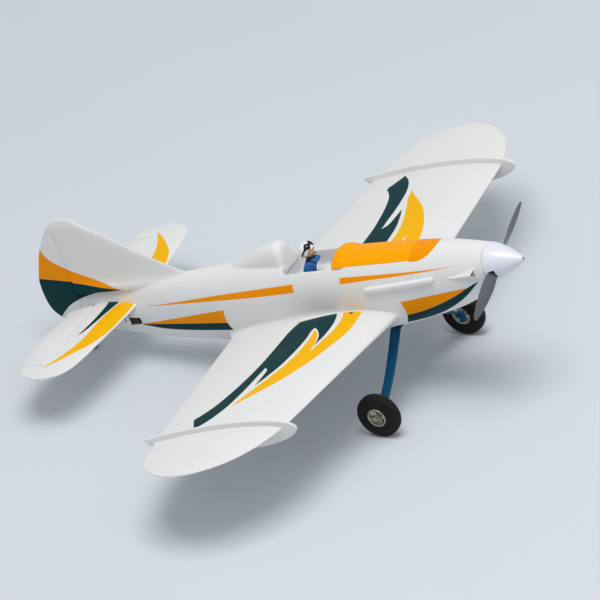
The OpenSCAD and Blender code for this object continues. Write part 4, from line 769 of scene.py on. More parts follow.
def tub():
    """Hollow of the cockpit."""
    bm = block(HATCH_END + 3, TUB_END, -TUB_W / 2, TUB_W / 2, TUB_FLOOR, HEADREST_TOP)
    return softened(bm, 6, 4)


def oblong(s, w, low, high):
    """Four corners at a station, of a half width and two heights."""
    return [(-s, -w, low), (-s, w, low), (-s, w, high), (-s, -w, high)]


def equipment_bay():
    """Hollow behind the firewall, which widens towards the cockpit."""
    return loft([oblong(NOSE_S + FIRE_RUN + FIRE_T, 26, BAY_FLOOR, 14),
                 oblong(HATCH_END - HATCH_LAP, 32, BAY_FLOOR, SILL_Z - 4)])


CHIN_TOP = -20


def chin_mouth():
    """Air mouth under the spinner, which narrows inwards."""
    return loft([oblong(NOSE_S + 4, 15, -NOSE_R - 14, CHIN_TOP),
                 oblong(NOSE_S + 41, 7, -MOUNT_R - 10, CHIN_TOP)])


LINK_Y = half_w(SERVO_S) + 7
SERVO_FACE = LINK_Y - 6
ELEVATOR_SERVO_Z = STAB_Z - 26
RUDDER_SERVO_Z = -43
SERVO_EAR, SERVO_GAP, SERVO_SHAFT = 5, 0.3, 6


def servo_pocket(side, z):
    """Hollow round a servo and its ears, open to the side."""
    deep = sorted((side * (SERVO_FACE - SERVO_H - SERVO_GAP), side * (SERVO_FACE + 30)))
    rear = SERVO_S + SERVO_SHAFT
    half_tall = SERVO_W / 2 + SERVO_GAP
    return block(rear - SERVO_L - SERVO_EAR - SERVO_GAP, rear + SERVO_EAR + SERVO_GAP, *deep,
                 z - half_tall, z + half_tall)


# Wing sections.
def foil_t(t):
    """Half thickness of a rounded section at a share of its chord."""
    return 5 * (0.2969 * sqrt(t) - 0.126 * t - 0.3516 * t * t + 0.2843 * t**3 - 0.1015 * t**4)


def foil(y, le, te, thick, camber, count=30):
    """Ring from the upper trailing edge round the nose to the lower one.

    le and te are the (station, height) of the leading and the trailing edge.
    """
    chord = te[0] - le[0]
    ring = []
    for k in range(-count, count + 1):
        t = (1 - cos(pi * k / count)) / 2
        up = 1 if k < 0 else -1
        middle = mix(le[1], te[1], t) + 4 * camber * chord * t * (1 - t)
        ring.append((-mix(le[0], te[0], t), y, middle + up * (foil_t(t) * thick + EDGE_T / 2 * t)))
    return ring


# Tip: share of the way out from the fence, then how far its front and rear edges draw in, as chord shares.
TIP_SHAPE = [[0, 0, 0], [0.16, 0.029, 0.032], [0.3, 0.055, 0.045], [0.45, 0.092, 0.065],
             [0.6, 0.141, 0.1], [0.73, 0.2, 0.152], [0.84, 0.268, 0.225], [0.918, 0.34, 0.292],
             [0.965, 0.396, 0.36], [0.99, 0.441, 0.426], [1, 0.494, 0.5]]
TIP_CREASE_Y, TIP_BEND, TIP_LEVEL = 430, -0.03, 0.8


def out_share(y):
    return (y - ROOT_Y) / (FENCE_Y - ROOT_Y)


def tip_share(y):
    return max(0, (y - FENCE_Y) / (TIP_Y - FENCE_Y))


def le_s(y):
    return mix(WING_LE, FENCE_LE, min(1, out_share(y))) + FENCE_CHORD * curve(TIP_SHAPE, tip_share(y), 1)


def te_s(y):
    return (mix(WING_LE + ROOT_CHORD, FENCE_LE + FENCE_CHORD, min(1, out_share(y)))
            - FENCE_CHORD * curve(TIP_SHAPE, tip_share(y), 2))


def le_z(y):
    return WING_Z + FENCE_RISE * out_share(y)


def te_z(y):
    return le_z(y) - mix(ROOT_DROP, FENCE_DROP, min(1, out_share(y))) * (1 - tip_share(y) * TIP_LEVEL)


def wing_ring(y):
    thick = WING_THICK * (te_s(y) - le_s(y)) * mix(1, FENCE_THIN, min(1, out_share(y)))
    bend = TIP_BEND * max(0, y - TIP_CREASE_Y)
    return foil(y, (le_s(y), le_z(y) - bend), (te_s(y), te_z(y) - bend), thick, WING_CAMBER)


# Fairing at the wing's root: its swell at distances inwards from the panel.
FAIRING_STEPS = [[0, 0], [2, 0.15], [4, 0.5], [6, 1], [10, 1.6], [16, 2.2], [26, 2.8]]
FAIRING_FORE, FAIRING_AFT, FAIRING_FAT = 10, 5, 14


def wing_fairing():
    rings = []
    for d in steps(26, FAIRING_STEPS[-1][0], 0):
        swell = curve(FAIRING_STEPS, d)
        le = WING_LE - FAIRING_FORE * swell, WING_Z
        te = WING_LE + ROOT_CHORD + FAIRING_AFT * swell, WING_Z - ROOT_DROP
        rings.append(foil(ROOT_Y - d, le, te, WING_THICK * ROOT_CHORD + FAIRING_FAT * swell, WING_CAMBER))
    return loft(rings)


# Fin: share of its height and of the leading edge's run aft, then share of its chord and half thickness.
FIN_SHAPE = [[0, 0], [0.09, 0.08], [0.3, 0.29], [0.52, 0.503], [0.71, 0.67], [0.82, 0.786], [0.9, 0.858],
             [0.96, 0.908], [0.988, 0.95], [1, 1]]
FIN_SIDE = [[0, 0], [0.015, 0.26], [0.06, 0.5], [0.18, 0.8], [0.4, 1], [0.75, 0.97], [1, 0.5]]
# Rounded end of the fin: drop from its top and run ahead of the hinge.
FIN_TIP = [[5, 8.5], [1.5, 16], [0, 25]]
# Rudder: share of its height and of its chord.
RUDDER_SHAPE = [[-0.01, 0.49], [0.08, 0.73], [0.15, 0.885], [0.24, 0.955], [0.35, 0.965], [0.42, 0.95],
                [0.475, 0.92], [0.545, 0.847], [0.627, 0.75], [0.7, 0.655], [0.766, 0.556],
                [0.828, 0.445], [0.9, 0.3], [0.97, 0.14], [1, 0.06]]
RUDDER_EDGE = ([[mix(RUDDER_BOTTOM, RUDDER_TOP, up), RUDDER_HINGE + RUDDER_CHORD * out]
                for up, out in RUDDER_SHAPE]
               + [[FIN_TOP - drop, RUDDER_HINGE - run] for drop, run in FIN_TIP])
FIN_FLARE, FIN_FLARE_SINK, FIN_FLARE_FADE, FIN_FLARE_FORE = 7, 8, 9, 2.5


def fin_ring(z):
    """Section of the fin out to the rudder's trailing edge, flared where it meets the body."""
    up = max(0, z - FIN_ROOT_Z) / (FIN_TOP - FIN_ROOT_Z)
    flare = exp(-max(0, z - FIN_ROOT_Z + FIN_FLARE_SINK) / FIN_FLARE_FADE) * FIN_FLARE
    le = FIN_LE + FIN_RUN * curve(FIN_SHAPE, up) - flare * FIN_FLARE_FORE
    te = curve(RUDDER_EDGE, z)
    crown = sqrt((FIN_TOP + 1 - z) / (FIN_TOP + 1 - RUDDER_TOP)) if z > RUDDER_TOP else 1
    w = FIN_T / 2 * mix(1, 0.92, up) * crown + flare
    shares = [u * u for u in steps(22)]
    left = [(-mix(le, te, t), w * curve(FIN_SIDE, t), z) for t in shares]
    return left + [(x, -y, z) for x, y, z in left[:0:-1]]


def fin():
    levels = steps(40, -0.14, 0.88) + steps(16, 0.89, 1)
    return loft([fin_ring(mix(FIN_ROOT_Z, FIN_TOP, u)) for u in levels])


HEADREST_S = TUB_END - 2
HEADREST_ROUND = 11


def headrest_ring(t, inset, back):
    """Arch across the headrest: t runs from its front to its tail."""
    end_top = curve(BODY, HEADREST_S + HEADREST_LEN, 2) - 2
    top = mix(HEADREST_TOP, end_top, t**1.5) - inset
    w = HEADREST_W / 2 * mix(1, 0.45, t**1.3) - inset * 0.5
    ring = []
    for a in steps(40, 0, pi):
        z = mix(SILL_Z - 6, top, power(sin(a), 0.8))
        front = HEADREST_S + back + (z - SILL_Z) * HEADREST_RAKE
        ring.append((-mix(front, HEADREST_S + HEADREST_LEN, t), -w * power(cos(a), 0.8), z))
    return ring


def headrest():
    rim = [headrest_ring(0, HEADREST_ROUND * (1 - sin(a)), HEADREST_ROUND * (1 - cos(a)))
           for a in steps(10, 0, pi / 2)]
    hump = [headrest_ring(t, 0, HEADREST_ROUND) for t in steps(30)[1:]]
    return loft(rim + hump)


BAR_FRONT, BAR_END, BAR_HALF_H, BAR_PROUD, BAR_SINK = 142, 268, 5, 6.4, 4
BAR_Z = [[146, 2], [264, -3]]


def side_bar():
    """Raised bar along the cheek, flat on top with a round front end."""
    def ring(s, size):
        z = mix(BAR_Z[0][1], BAR_Z[1][1], (s - BAR_Z[0][0]) / (BAR_Z[1][0] - BAR_Z[0][0]))
        root = side_y(s, z) - BAR_SINK
        points = []
        for a in steps(28, 0, tau)[:-1]:
            out = (BAR_SINK + BAR_PROUD * size) * max(0, power(cos(a), 0.45)) - 3 * max(0, -cos(a))
            points.append((-s, root + out, z + BAR_HALF_H * size * power(sin(a), 0.45)))
        return points
    front = [(BAR_FRONT + 5 * (1 - cos(a)), sin(a)) for a in steps(8, 0.25, pi / 2)]
    rear = [(BAR_END - 3 * (1 - cos(a)), sin(a)) for a in steps(5, pi / 2, 0.4)]
    middle = [(s, 1) for s in steps(12, BAR_FRONT + 8, BAR_END - 6)]
    return loft([ring(s, size) for s, size in front + middle + rear])


# Body in one moulding, split along the middle.
GEAR_HALF_W, GEAR_LEN, GEAR_PLATE_T = 26, 34, 4
GEAR_TOP = under_z(AXLE_S, GEAR_HALF_W) + GEAR_PLATE_T - 1
FLANGE_Z = GEAR_TOP - GEAR_PLATE_T
# Grain and smoothing of the moulding, and how far its cutters reach into the open.
MOULD_GRAIN, MOULD_PASSES, CLEAR = 1.6, 5, 60


def make_body():
    shell = carved(
        body_shell(),
        rod(MOUNT_R, (-NOSE_S + 1, 0, 0), (-NOSE_S - FIRE_RUN, 0, 0), 64),
        equipment_bay(),
        block(HATCH_FRONT + HATCH_LAP, HATCH_END - HATCH_LAP, -28, 28, BAY_FLOOR + 1, SILL_Z + 1),
        block(HATCH_END - 1, TUB_END, -CABIN_W, CABIN_W, SILL_Z, SILL_Z + CLEAR),
        tub(), chin_mouth(),
        block(AXLE_S - GEAR_LEN / 2, AXLE_S + GEAR_LEN / 2, -GEAR_HALF_W, GEAR_HALF_W,
              -BELLY - CLEAR, GEAR_TOP))
    mould = joined(shell, wing_fairing(), flipped(wing_fairing()), headrest(), fin())
    whole = carved(fused(mould, MOULD_GRAIN, MOULD_PASSES), joined(
        block(HATCH_FRONT, HATCH_END, -CABIN_W, CABIN_W, SILL_Z, SILL_Z + CLEAR),
        block(POST_S, RUDDER_HINGE + 2 * RUDDER_CHORD, -30, 30, -BELLY, RUDDER_TOP + MOVE_GAP),
        servo_pocket(-1, ELEVATOR_SERVO_Z), servo_pocket(1, RUDDER_SERVO_Z)))
    pair("cheek_bar_*", side_bar, "airframe", "foam_white", FOAM, smooth=50)
    piece("fuselage_left_half", half(whole.copy(), 1), "airframe", "foam_white", BODY_TRIM, "fuselage_left")
    piece("fuselage_right_half", half(whole, -1), "airframe", "foam_white", BODY_TRIM, "fuselage_right")


HATCH_IN, HATCH_FALL, HUMP_FLAT = 0.72, 0.6, 12


def hatch_ring(share):
    """Section of the hatch, whose rear rises to the screen hump and is rounded off."""
    s = mix(HATCH_FRONT + HATCH_GAP, HATCH_END - HATCH_GAP, share)
    u = max(0, (s - HATCH_END + HATCH_ROUND) / HATCH_ROUND)
    fall = HATCH_ROUND * HATCH_FALL * (1 - sqrt(1 - u * u * 0.98))
    crown = half_h(s) + SCREEN_RISE * ease((s - HATCH_END + HUMP_LEN) / (HUMP_LEN - HUMP_FLAT)) - fall
    n = fullness(s)
    start = asin(((SILL_Z + HATCH_GAP - mid_z(s)) / crown) ** (n / 2))
    ring = []
    for a in steps(64, start, pi - start):
        ring.append((-s, (half_w(s) - fall / 2) * power(cos(a), 2 / n), mid_z(s) + crown * sin(a) ** (2 / n)))
    return ring


def make_hatch():
    bm = loft([hatch_ring(share) for share in steps(40, 0, 0.8) + steps(40, 0.805, 1)])
    inside = loft([[(x, y * HATCH_IN, z - HATCH_WALL) for x, y, z in hatch_ring(share)]
                   for share in steps(12, 0.12, 0.88)])
    bm = softened(carved(bm, inside), 0.5, 3, 50)
    piece("hatch_cover", bm, "hatch", "foam_orange", HATCH_ORANGE, "battery_hatch")


# Scoop corners: station, height and how far they stand out, for its tail, lip, outer corner and peak.
SCOOP = ((123, -0.5, 0), (66, -9.8, 0), (75, 2.5, 9), (69.5, 10, 0))
SCOOP_MOUTH, SCOOP_NARROW, SCOOP_DEPTH, SCOOP_SINK = 0.74, 0.4, 22, 6


def make_scoops():
    """Small air scoop on each cheek: a wedge with a raked three-cornered mouth."""
    tail, lip, corner, peak = (Vector((-s, side_y(s, z) + out, z)) for s, z, out in SCOOP)
    sink = Vector((0, -SCOOP_SINK, 0))
    ahead = (peak - corner).cross(lip - corner).normalized()
    if ahead.x < 0:
        ahead.negate()

    def scoop():
        skin = hull([p + shift for p in (tail, lip, corner, peak) for shift in (Vector(), sink)])
        middle = (corner + peak + lip) / 3
        rim = [middle + (p - middle) * SCOOP_MOUTH for p in (corner, peak, lip)]
        deep = [p + (middle - p) * SCOOP_NARROW - Vector((SCOOP_DEPTH, 0, 0)) for p in rim]
        mouth = hull([p + ahead * 4 for p in rim] + deep)
        return softened(carved(skin, mouth), 0.4)

    def inner(face):
        """Paint 1, a grey painted shade, for the faces that look forward from inside the mouth."""
        spot = face.calc_center_median()
        spot.y = abs(spot.y)
        return 1 if face.normal.x > 0.02 and (corner - spot).dot(ahead) > 0.4 else 0
    # The faces inside each mouth take the grey painted shade, the rest white foam.
    pair("side_scoop_*", scoop, "airframe", "foam_white", [FOAM, MOUTH_PAINTED_SHADE], pick=inner)


# Wing. The upper edge of the fence's leaf follows a curve whose highest value is LEAF_PEAK.
LEAF_PEAK = 0.385


def make_wing():
    def panel():
        bm = loft([wing_ring(y) for y in steps(8, ROOT_Y, FENCE_Y - FENCE_T / 2)])
        spot = Vector((-WING_SCREW_S, WING_SCREW_Y, 0))
        hole = rod(WING_SCREW_R, spot + Vector((0, 0, WING_Z)), spot)
        return softened(carved(bm, hole), 0.7, 2, 60)

    def tip():
        rings = [wing_ring(mix(FENCE_Y + FENCE_T / 2, TIP_Y, sin(pi / 2 * u))) for u in steps(48, 0, 0.96)]
        return softened(loft(rings), 0.4, 2, 60)

    def leaf(size):
        """Outline of the fence: a shallow rim above the wing and a half oval below it."""
        outline = []
        for a in steps(96, 0, tau)[:-1]:
            rise = FENCE_UP * sin(a / 2) * cos(a / 2) ** 2 / LEAF_PEAK if a < pi else FENCE_DOWN * sin(a)
            outline.append((FENCE_LEN / 2 * cos(a) * size[0], rise * size[1]))
        return outline

    def fence():
        mid_s = FENCE_LE + FENCE_CHORD / 2 - FENCE_FORE
        mid_h = (le_z(FENCE_Y) + te_z(FENCE_Y)) / 2 + FENCE_LIFT
        rings = []
        for a in steps(13, -pi / 2, pi / 2):
            inset = FENCE_RIM * (1 - cos(a))
            y = FENCE_Y + (FENCE_T / 2 - FENCE_RIM) * (1 if a > 0 else -1) + FENCE_RIM * sin(a)
            size = 1 - 2 * inset / FENCE_LEN, 1 - 2 * inset / (FENCE_UP + FENCE_DOWN)
            rings.append([(-mid_s + x, y, mid_h + z) for x, z in leaf(size)])
        return loft(rings)

    for side in SIDES:
        for name, make, paints, pick, node in (
                ("wing_panel", panel, [WING_TRIM, FOAM], topside, "wing"),
                ("wing_tip", tip, FOAM, None, "wing_tip"), ("wing_fence", fence, FOAM, None, "fence")):
            piece(f"{name}_{side}_skin", handed(make, side), "airframe", "foam_white", paints,
                  f"{node}_{side}", smooth=40, pick=pick)


# Tail: share of the half span, then how far aft its front and rear edges shift, as chord shares.
STAB_SHAPE = [[0, 0, -0.01], [0.2, 0.024, 0], [0.4, 0.066, 0.055], [0.6, 0.11, 0.052], [0.775, 0.157, 0.01],
              [0.89, 0.225, -0.075], [0.96, 0.345, -0.22], [1, 0.54, -0.42]]


def stab_le_at(y):
    return STAB_LE + STAB_CHORD * curve(STAB_SHAPE, y / STAB_TIP, 1)


def stab_te_at(y):
    return STAB_LE + STAB_CHORD * (1 + curve(STAB_SHAPE, y / STAB_TIP, 2))


ELEVATOR_FRONT = ELEVATOR_HINGE - NOSE_ROUND - MOVE_GAP
ELEVATOR_IN = POST_W / 2 + 6
ELEVATOR_IN_EDGE = ELEVATOR_IN + 9
HINGE_SPOTS, RUDDER_HINGE_SPOTS = (45, 135), (108, 45)
HINGE_NOTCH, HINGE_HALF = 7.2, 2.6
STAB_END, STAB_TIP_THIN = 0.995, 0.55


def make_tailplane():
    rings = []
    for u in sorted({round(sin(pi / 2 * share), 5) for share in steps(80, -1, 1)}):
        y = u * STAB_TIP * STAB_END
        le, te = stab_le_at(abs(y)), stab_te_at(abs(y))
        rings.append(foil(y, (le, STAB_Z), (te, STAB_Z), STAB_T * mix(1, STAB_TIP_THIN, abs(u) ** 6), 0, 24))
    room = block(ELEVATOR_FRONT, ELEVATOR_HINGE + 80, -ELEVATOR_END - 1, ELEVATOR_END + 1,
                 STAB_Z - 20, STAB_Z + 20)
    piece("tailplane_skin", softened(carved(loft(rings), room), 0.5, 2, 60), "airframe", "foam_white",
          [TAIL_TRIM, FOAM], "tailplane", pick=topside)


def control_ring(nose, edge, thick_axis, count=14):
    """Section of a control surface: round nose at the hinge, flat sides and a thin trailing edge."""
    thick = Vector(thick_axis)
    nose, edge = Vector(nose), Vector(edge)
    back = Vector((edge.x - nose.x, 0, 0)).normalized()
    ring = [nose + thick * (NOSE_ROUND * cos(a)) - back * (NOSE_ROUND * sin(a)) for a in steps(count, 0, pi)]
    return ring + [edge - thick * EDGE_T / 2, edge + back * 0.4, edge + thick * EDGE_T / 2]


def make_elevators():
    def surface():
        rings = []
        for u in steps(48):
            y0, y1 = mix(ELEVATOR_IN, ELEVATOR_END, u), mix(ELEVATOR_IN_EDGE, ELEVATOR_END, u)
            nose, edge = (-ELEVATOR_HINGE, y0, STAB_Z), (-stab_te_at(y1), y1, STAB_Z)
            rings.append(control_ring(nose, edge, (0, 0, 1)))
        notches = [block(ELEVATOR_HINGE - 10, ELEVATOR_HINGE + HINGE_HALF, y - HINGE_NOTCH / 2,
                         y + HINGE_NOTCH / 2, STAB_Z - HINGE_HALF, STAB_Z + HINGE_HALF) for y in HINGE_SPOTS]
        return softened(carved(loft(rings), *notches), 0.4, 2, 60)
    pair("elevator_*_skin", surface, "elevator", "foam_white", [TAIL_TRIM, FOAM], "elevator_*", pick=topside)


def make_rudder():
    rings = [control_ring((-RUDDER_HINGE, 0, z), (-curve(RUDDER_EDGE, z), 0, z), (0, 1, 0))
             for z in steps(60, RUDDER_BOTTOM, RUDDER_TOP)]
    notches = [block(RUDDER_HINGE - 10, RUDDER_HINGE + HINGE_HALF, -HINGE_HALF, HINGE_HALF,
                     z - HINGE_NOTCH / 2, z + HINGE_NOTCH / 2) for z in RUDDER_HINGE_SPOTS]
    bm = softened(carved(loft(rings), *notches), 0.4, 2, 60)
    piece("rudder_skin", bm, "rudder", "foam_white", BODY_TRIM, "rudder")


# Spinner and propeller.
PLATE_S = SPINNER_LEN - 4
HUB_S = PLATE_S - 10
FORWARD = (1, 0, 0)
SPINNER_BORE, SPINNER_RIM, SPINNER_TIP, SPINNER_NOSE = 2.9, 3.4, 4, 0.16
SLOT_Y, SLOT_HALF_L, SLOT_HALF_W = 26, 14, 8


def spinner_r(t):
    return mix(SPINNER_TIP, NOSE_R, 0.4 * t + 0.6 * sin(pi / 2 * t))


def make_spinner():
    outer = [(SPINNER_BORE, 0), (SPINNER_RIM, 0)]
    outer += [(spinner_r(t), -SPINNER_LEN * t) for t in steps(40, 0.01)]
    inner = [(spinner_r(t) - SPINNER_WALL, -SPINNER_LEN * t) for t in steps(24, 1, SPINNER_NOSE)]
    bore = [(SPINNER_BORE, -SPINNER_LEN * SPINNER_NOSE), (SPINNER_BORE, 0)]
    bm = turned(outer + inner + bore, (0, 0, 0), FORWARD, 128)
    slots = []
    for side in (-1, 1):
        slot = softened(block(HUB_S - 1, PLATE_S, side * SLOT_Y - SLOT_HALF_L, side * SLOT_Y + SLOT_HALF_L,
                              -SLOT_HALF_W, SLOT_HALF_W), 2, 3)
        slot.transform(Matrix.Rotation(PROP_ANGLE, 4, "X"))
        slots.append(slot)
    piece("spinner_shell", carved(bm, *slots), "rotor", "spinner_gloss", SPINNER_GLOSS, "spinner", smooth=30)


# Blade: share of the radius, share of the chord, and pitch in degrees.
BLADE_SHAPE = [[0.05, 0.5, 40], [0.14, 0.56, 38], [0.25, 0.78, 33], [0.42, 1, 25], [0.6, 0.96, 19],
               [0.78, 0.78, 15], [0.9, 0.56, 13], [0.97, 0.34, 12], [1, 0.1, 11]]
PROP_BOSS_R, PROP_BORE_R = 8, 2.6


def make_propeller():
    def blade_ring(share):
        chord = BLADE_CHORD * curve(BLADE_SHAPE, share)
        thick = BLADE_T * mix(1, 0.3, share)
        twist = radians(curve(BLADE_SHAPE, share, 2))
        ring = []
        for k in range(32):
            a = -tau * k / 32
            u, v = cos(a) * chord / 2, sin(a) * thick / 2 + (1 - cos(a) ** 2) * thick * 0.2
            x, z = u * sin(twist) - v * cos(twist), u * cos(twist) + v * sin(twist)
            ring.append((x - (HUB_S + PLATE_S) / 2, PROP_D / 2 * share, z))
        return ring
    blades = []
    for turn in (0, pi):
        bm = loft([blade_ring(share) for share in steps(36, 0.05, 0.995)])
        bm.transform(Matrix.Rotation(PROP_ANGLE + turn, 4, "X"))
        blades.append(bm)
    outline = [(PROP_BORE_R, -HUB_S), (PROP_BOSS_R - 1, -HUB_S), (PROP_BOSS_R, -HUB_S - 1),
               (PROP_BOSS_R, -PLATE_S + 1), (PROP_BOSS_R - 1, -PLATE_S), (PROP_BORE_R, -PLATE_S)]
    boss = turned(outline + outline[:1], (0, 0, 0), FORWARD, 64)
    piece("propeller_blades", joined(boss, *blades), "rotor", "propeller_grey", BLADE_GREY, "propeller",
          smooth=40)


# Undercarriage.
WHEEL_Y = TRACK / 2
HUB_W = TYRE_W - 4
BOSS_R, BOSS_REACH, BORE_R = 4.5, 4, 2.1
SPOKES, SPOKE_HALF_T, SPOKE_HALF_W = 5, 3, 2.1
LEG_GAP = 0.5
LEG_Y = WHEEL_Y - HUB_W / 2 - BOSS_REACH - LEG_GAP - LEG_T


def make_wheels():
    def tyre(side):
        r_in = HUB_D / 2
        profile = []
        for a in steps(40, 0, pi):
            profile.append((r_in + (TYRE_D / 2 - r_in) * sin(a) ** 0.62,
                            TYRE_W / 2 * power(cos(a), 0.7) * mix(0.82, 1, sin(a) ** 0.7)))
        return turned(profile + [profile[0]], (-AXLE_S, side * WHEEL_Y, -AXLE_DROP), (0, 1, 0), 128)

    def hub(side):
        place = Vector((-AXLE_S, side * WHEEL_Y, -AXLE_DROP))
        out = Vector((0, side, 0))
        rim = HUB_D / 2
        face = HUB_W / 2
        barrel = turned([(rim - 2, -face), (rim - 0.1, -face), (rim - 0.1, face), (rim - 0.5, face + 0.5),
                         (rim - 1.5, face + 0.5), (rim - 2, face), (rim - 2, -face)], place, out, 96)
        inner = -face - BOSS_REACH
        boss = turned([(BORE_R, inner), (BOSS_R, inner), (BOSS_R, face - 0.6), (BOSS_R - 0.6, face),
                       (BORE_R, face), (BORE_R, inner)], place, out, 48)
        arms = []
        for k in range(SPOKES):
            arm = block(-rim + 1, -BOSS_R + 1, -SPOKE_HALF_T, SPOKE_HALF_T, -SPOKE_HALF_W, SPOKE_HALF_W)
            for vert in arm.verts:
                if vert.co.x > rim - 2:
                    vert.co.z *= 1.35
            arm = softened(arm, 0.8)
            arm.transform(Matrix.Translation(place) @ Matrix.Rotation(tau * k / SPOKES + 0.3, 4, "Y"))
            arms.append(arm)
        return joined(barrel, boss, *arms)

    for side, name in ((1, "left"), (-1, "right")):
        piece(f"{name}_tyre", tyre(side), f"{name}_wheel", "tyre", RUBBER, f"tyre_{name}", smooth=50)
        piece(f"{name}_hub", hub(side), f"{name}_wheel", "hub_metal", HUB_METAL, f"hub_{name}")


def make_tail_wheel():
    place = (-RUDDER_HINGE - TAIL_TRAIL, 0, -TAIL_AXLE_DROP)
    r, face = TAIL_WHEEL_D / 2, TAIL_WHEEL_W / 2
    side = [(1.4, face - 1), (r * 0.35, face - 1), (r * 0.4, face)]
    tread = [(r / 2 + r / 2 * cos(a) ** 0.6, face * sin(a)) for a in steps(24, -pi / 2 + 0.02, pi / 2 - 0.02)]
    profile = [(radius, -along) for radius, along in side] + tread + side[::-1]
    piece("tail_tyre", turned(profile + [profile[0]], place, (0, 1, 0), 96), "tail_wheel", "tyre", RUBBER,
          "tail_wheel", smooth=50)


# Leg: where its flange starts and bends, and the heights of its straight and round foot above the axle.
FLANGE_IN, FLANGE_BEND, FOOT_TOP = 2, 4, 11
FOOT = (7, 4, 0, -3, -5, -6.5, -7.4, -7.9)


def make_legs():
    bend = Vector((GEAR_HALF_W, FLANGE_Z - LEG_T / 2))
    foot = Vector((LEG_Y + LEG_T / 2, -AXLE_DROP + FOOT_TOP))
    path = [Vector((mix(FLANGE_IN, GEAR_HALF_W - FLANGE_BEND, u), bend.y)) for u in steps(4)]
    for u in steps(24):
        path.append(bend.lerp(foot, u) - Vector((0, 4 * LEG_BOW * u * (1 - u))))
    path += [Vector((foot.x, -AXLE_DROP + d)) for d in FOOT]
    for _ in range(2):
        eased = [(a + b * 2 + c) / 4 for a, b, c in zip(path, path[1:], path[2:])]
        path[1:-len(FOOT)] = eased[:len(path) - len(FOOT) - 1]

    def leg():
        rings = []
        for i, spot in enumerate(path):
            along = (path[min(i + 1, len(path) - 1)] - path[max(i - 1, 0)]).normalized()
            across = Vector((-along.y, along.x))
            fall = (bend.y - spot.y) / (bend.y + AXLE_DROP)
            width = mix(LEG_TOP_W, LEG_FOOT_W, max(0, min(1, fall)))
            below = -AXLE_DROP - spot.y
            if below > 0:
                width = 2 * sqrt(max(0.6, (LEG_FOOT_W / 2) ** 2 - below**2))
            lead = mix(LEG_LEAD, LEG_LEAD * 1.4, max(0, min(1, fall)))
            ring = []
            for a in steps(24, 0, tau)[:-1]:
                x = power(cos(a), 0.3) * width / 2
                t = power(sin(a), 0.5) * LEG_T / 2
                ring.append((-AXLE_S + lead + x, spot.x + across.x * t, spot.y + across.y * t))
            rings.append(ring)
        return loft(rings)
    pair("gear_leg_*_strip", leg, "airframe", "gear_blue", GEAR_BLUE, "gear_leg_*", smooth=40)


# Pilot figure. Torso rows: height, half width, half depth and lead.
TORSO = [[TUB_FLOOR + 0.5, 11, 7, -11], [12, 13, 8, -9.5], [18, 14.4, 9, -7.5], [24, 14.8, 10, -3.5],
         [28.5, 14.4, 11.5, 1.5], [32, 12.4, 9.6, 2], [34.5, 8.6, 7.2, 1], [36.5, 6.4, 6.2, 0.5],
         [39, 5.8, 5.8, 0.5]]
FACE_SIZE, FACE_PLACE = (9.8, 8.8, 10.6), Vector((1.6, 0, -2))
# Face: direction, width and height of each swell, for nose, chin, lips, eye hollows and cheeks.
FACE_SWELLS = [((1, 0, -0.06), 0.16, 0.1), ((1, 0, -0.78), 0.3, 0.07), ((1, 0, -0.36), 0.16, 0.03)]
FACE_SWELLS += [((1, 0.3 * side, 0.14), 0.14, -0.04) for side in (-1, 1)]
FACE_SWELLS += [((0.9, 0.5 * side, -0.2), 0.26, 0.02) for side in (-1, 1)]
HELMET_WALL, HELMET_RIM, WINDOW_HALF_W, WINDOW_EDGE = 1.8, 9, 10.4, 2.6
# Goggles: the way the brow faces, and the strap's half width and half thickness with what a lens adds.
BROW = Vector((0.65, 0, 0.76)).normalized()
STRAP_R, STRAP_W, STRAP_T, LENS_W, LENS_T = 13.1, 1.5, 0.5, 4.4, 0.9
LENS_TURN, LENS_SPREAD, SAG_R = radians(27), radians(20), 14
BOOM = ((1, -12.6, -5), (8, -11, -6.6), (13, -6, -5.6), (15.2, -1.4, -4.6))
BOOM_R, MICROPHONE_R = 0.55, 1.3


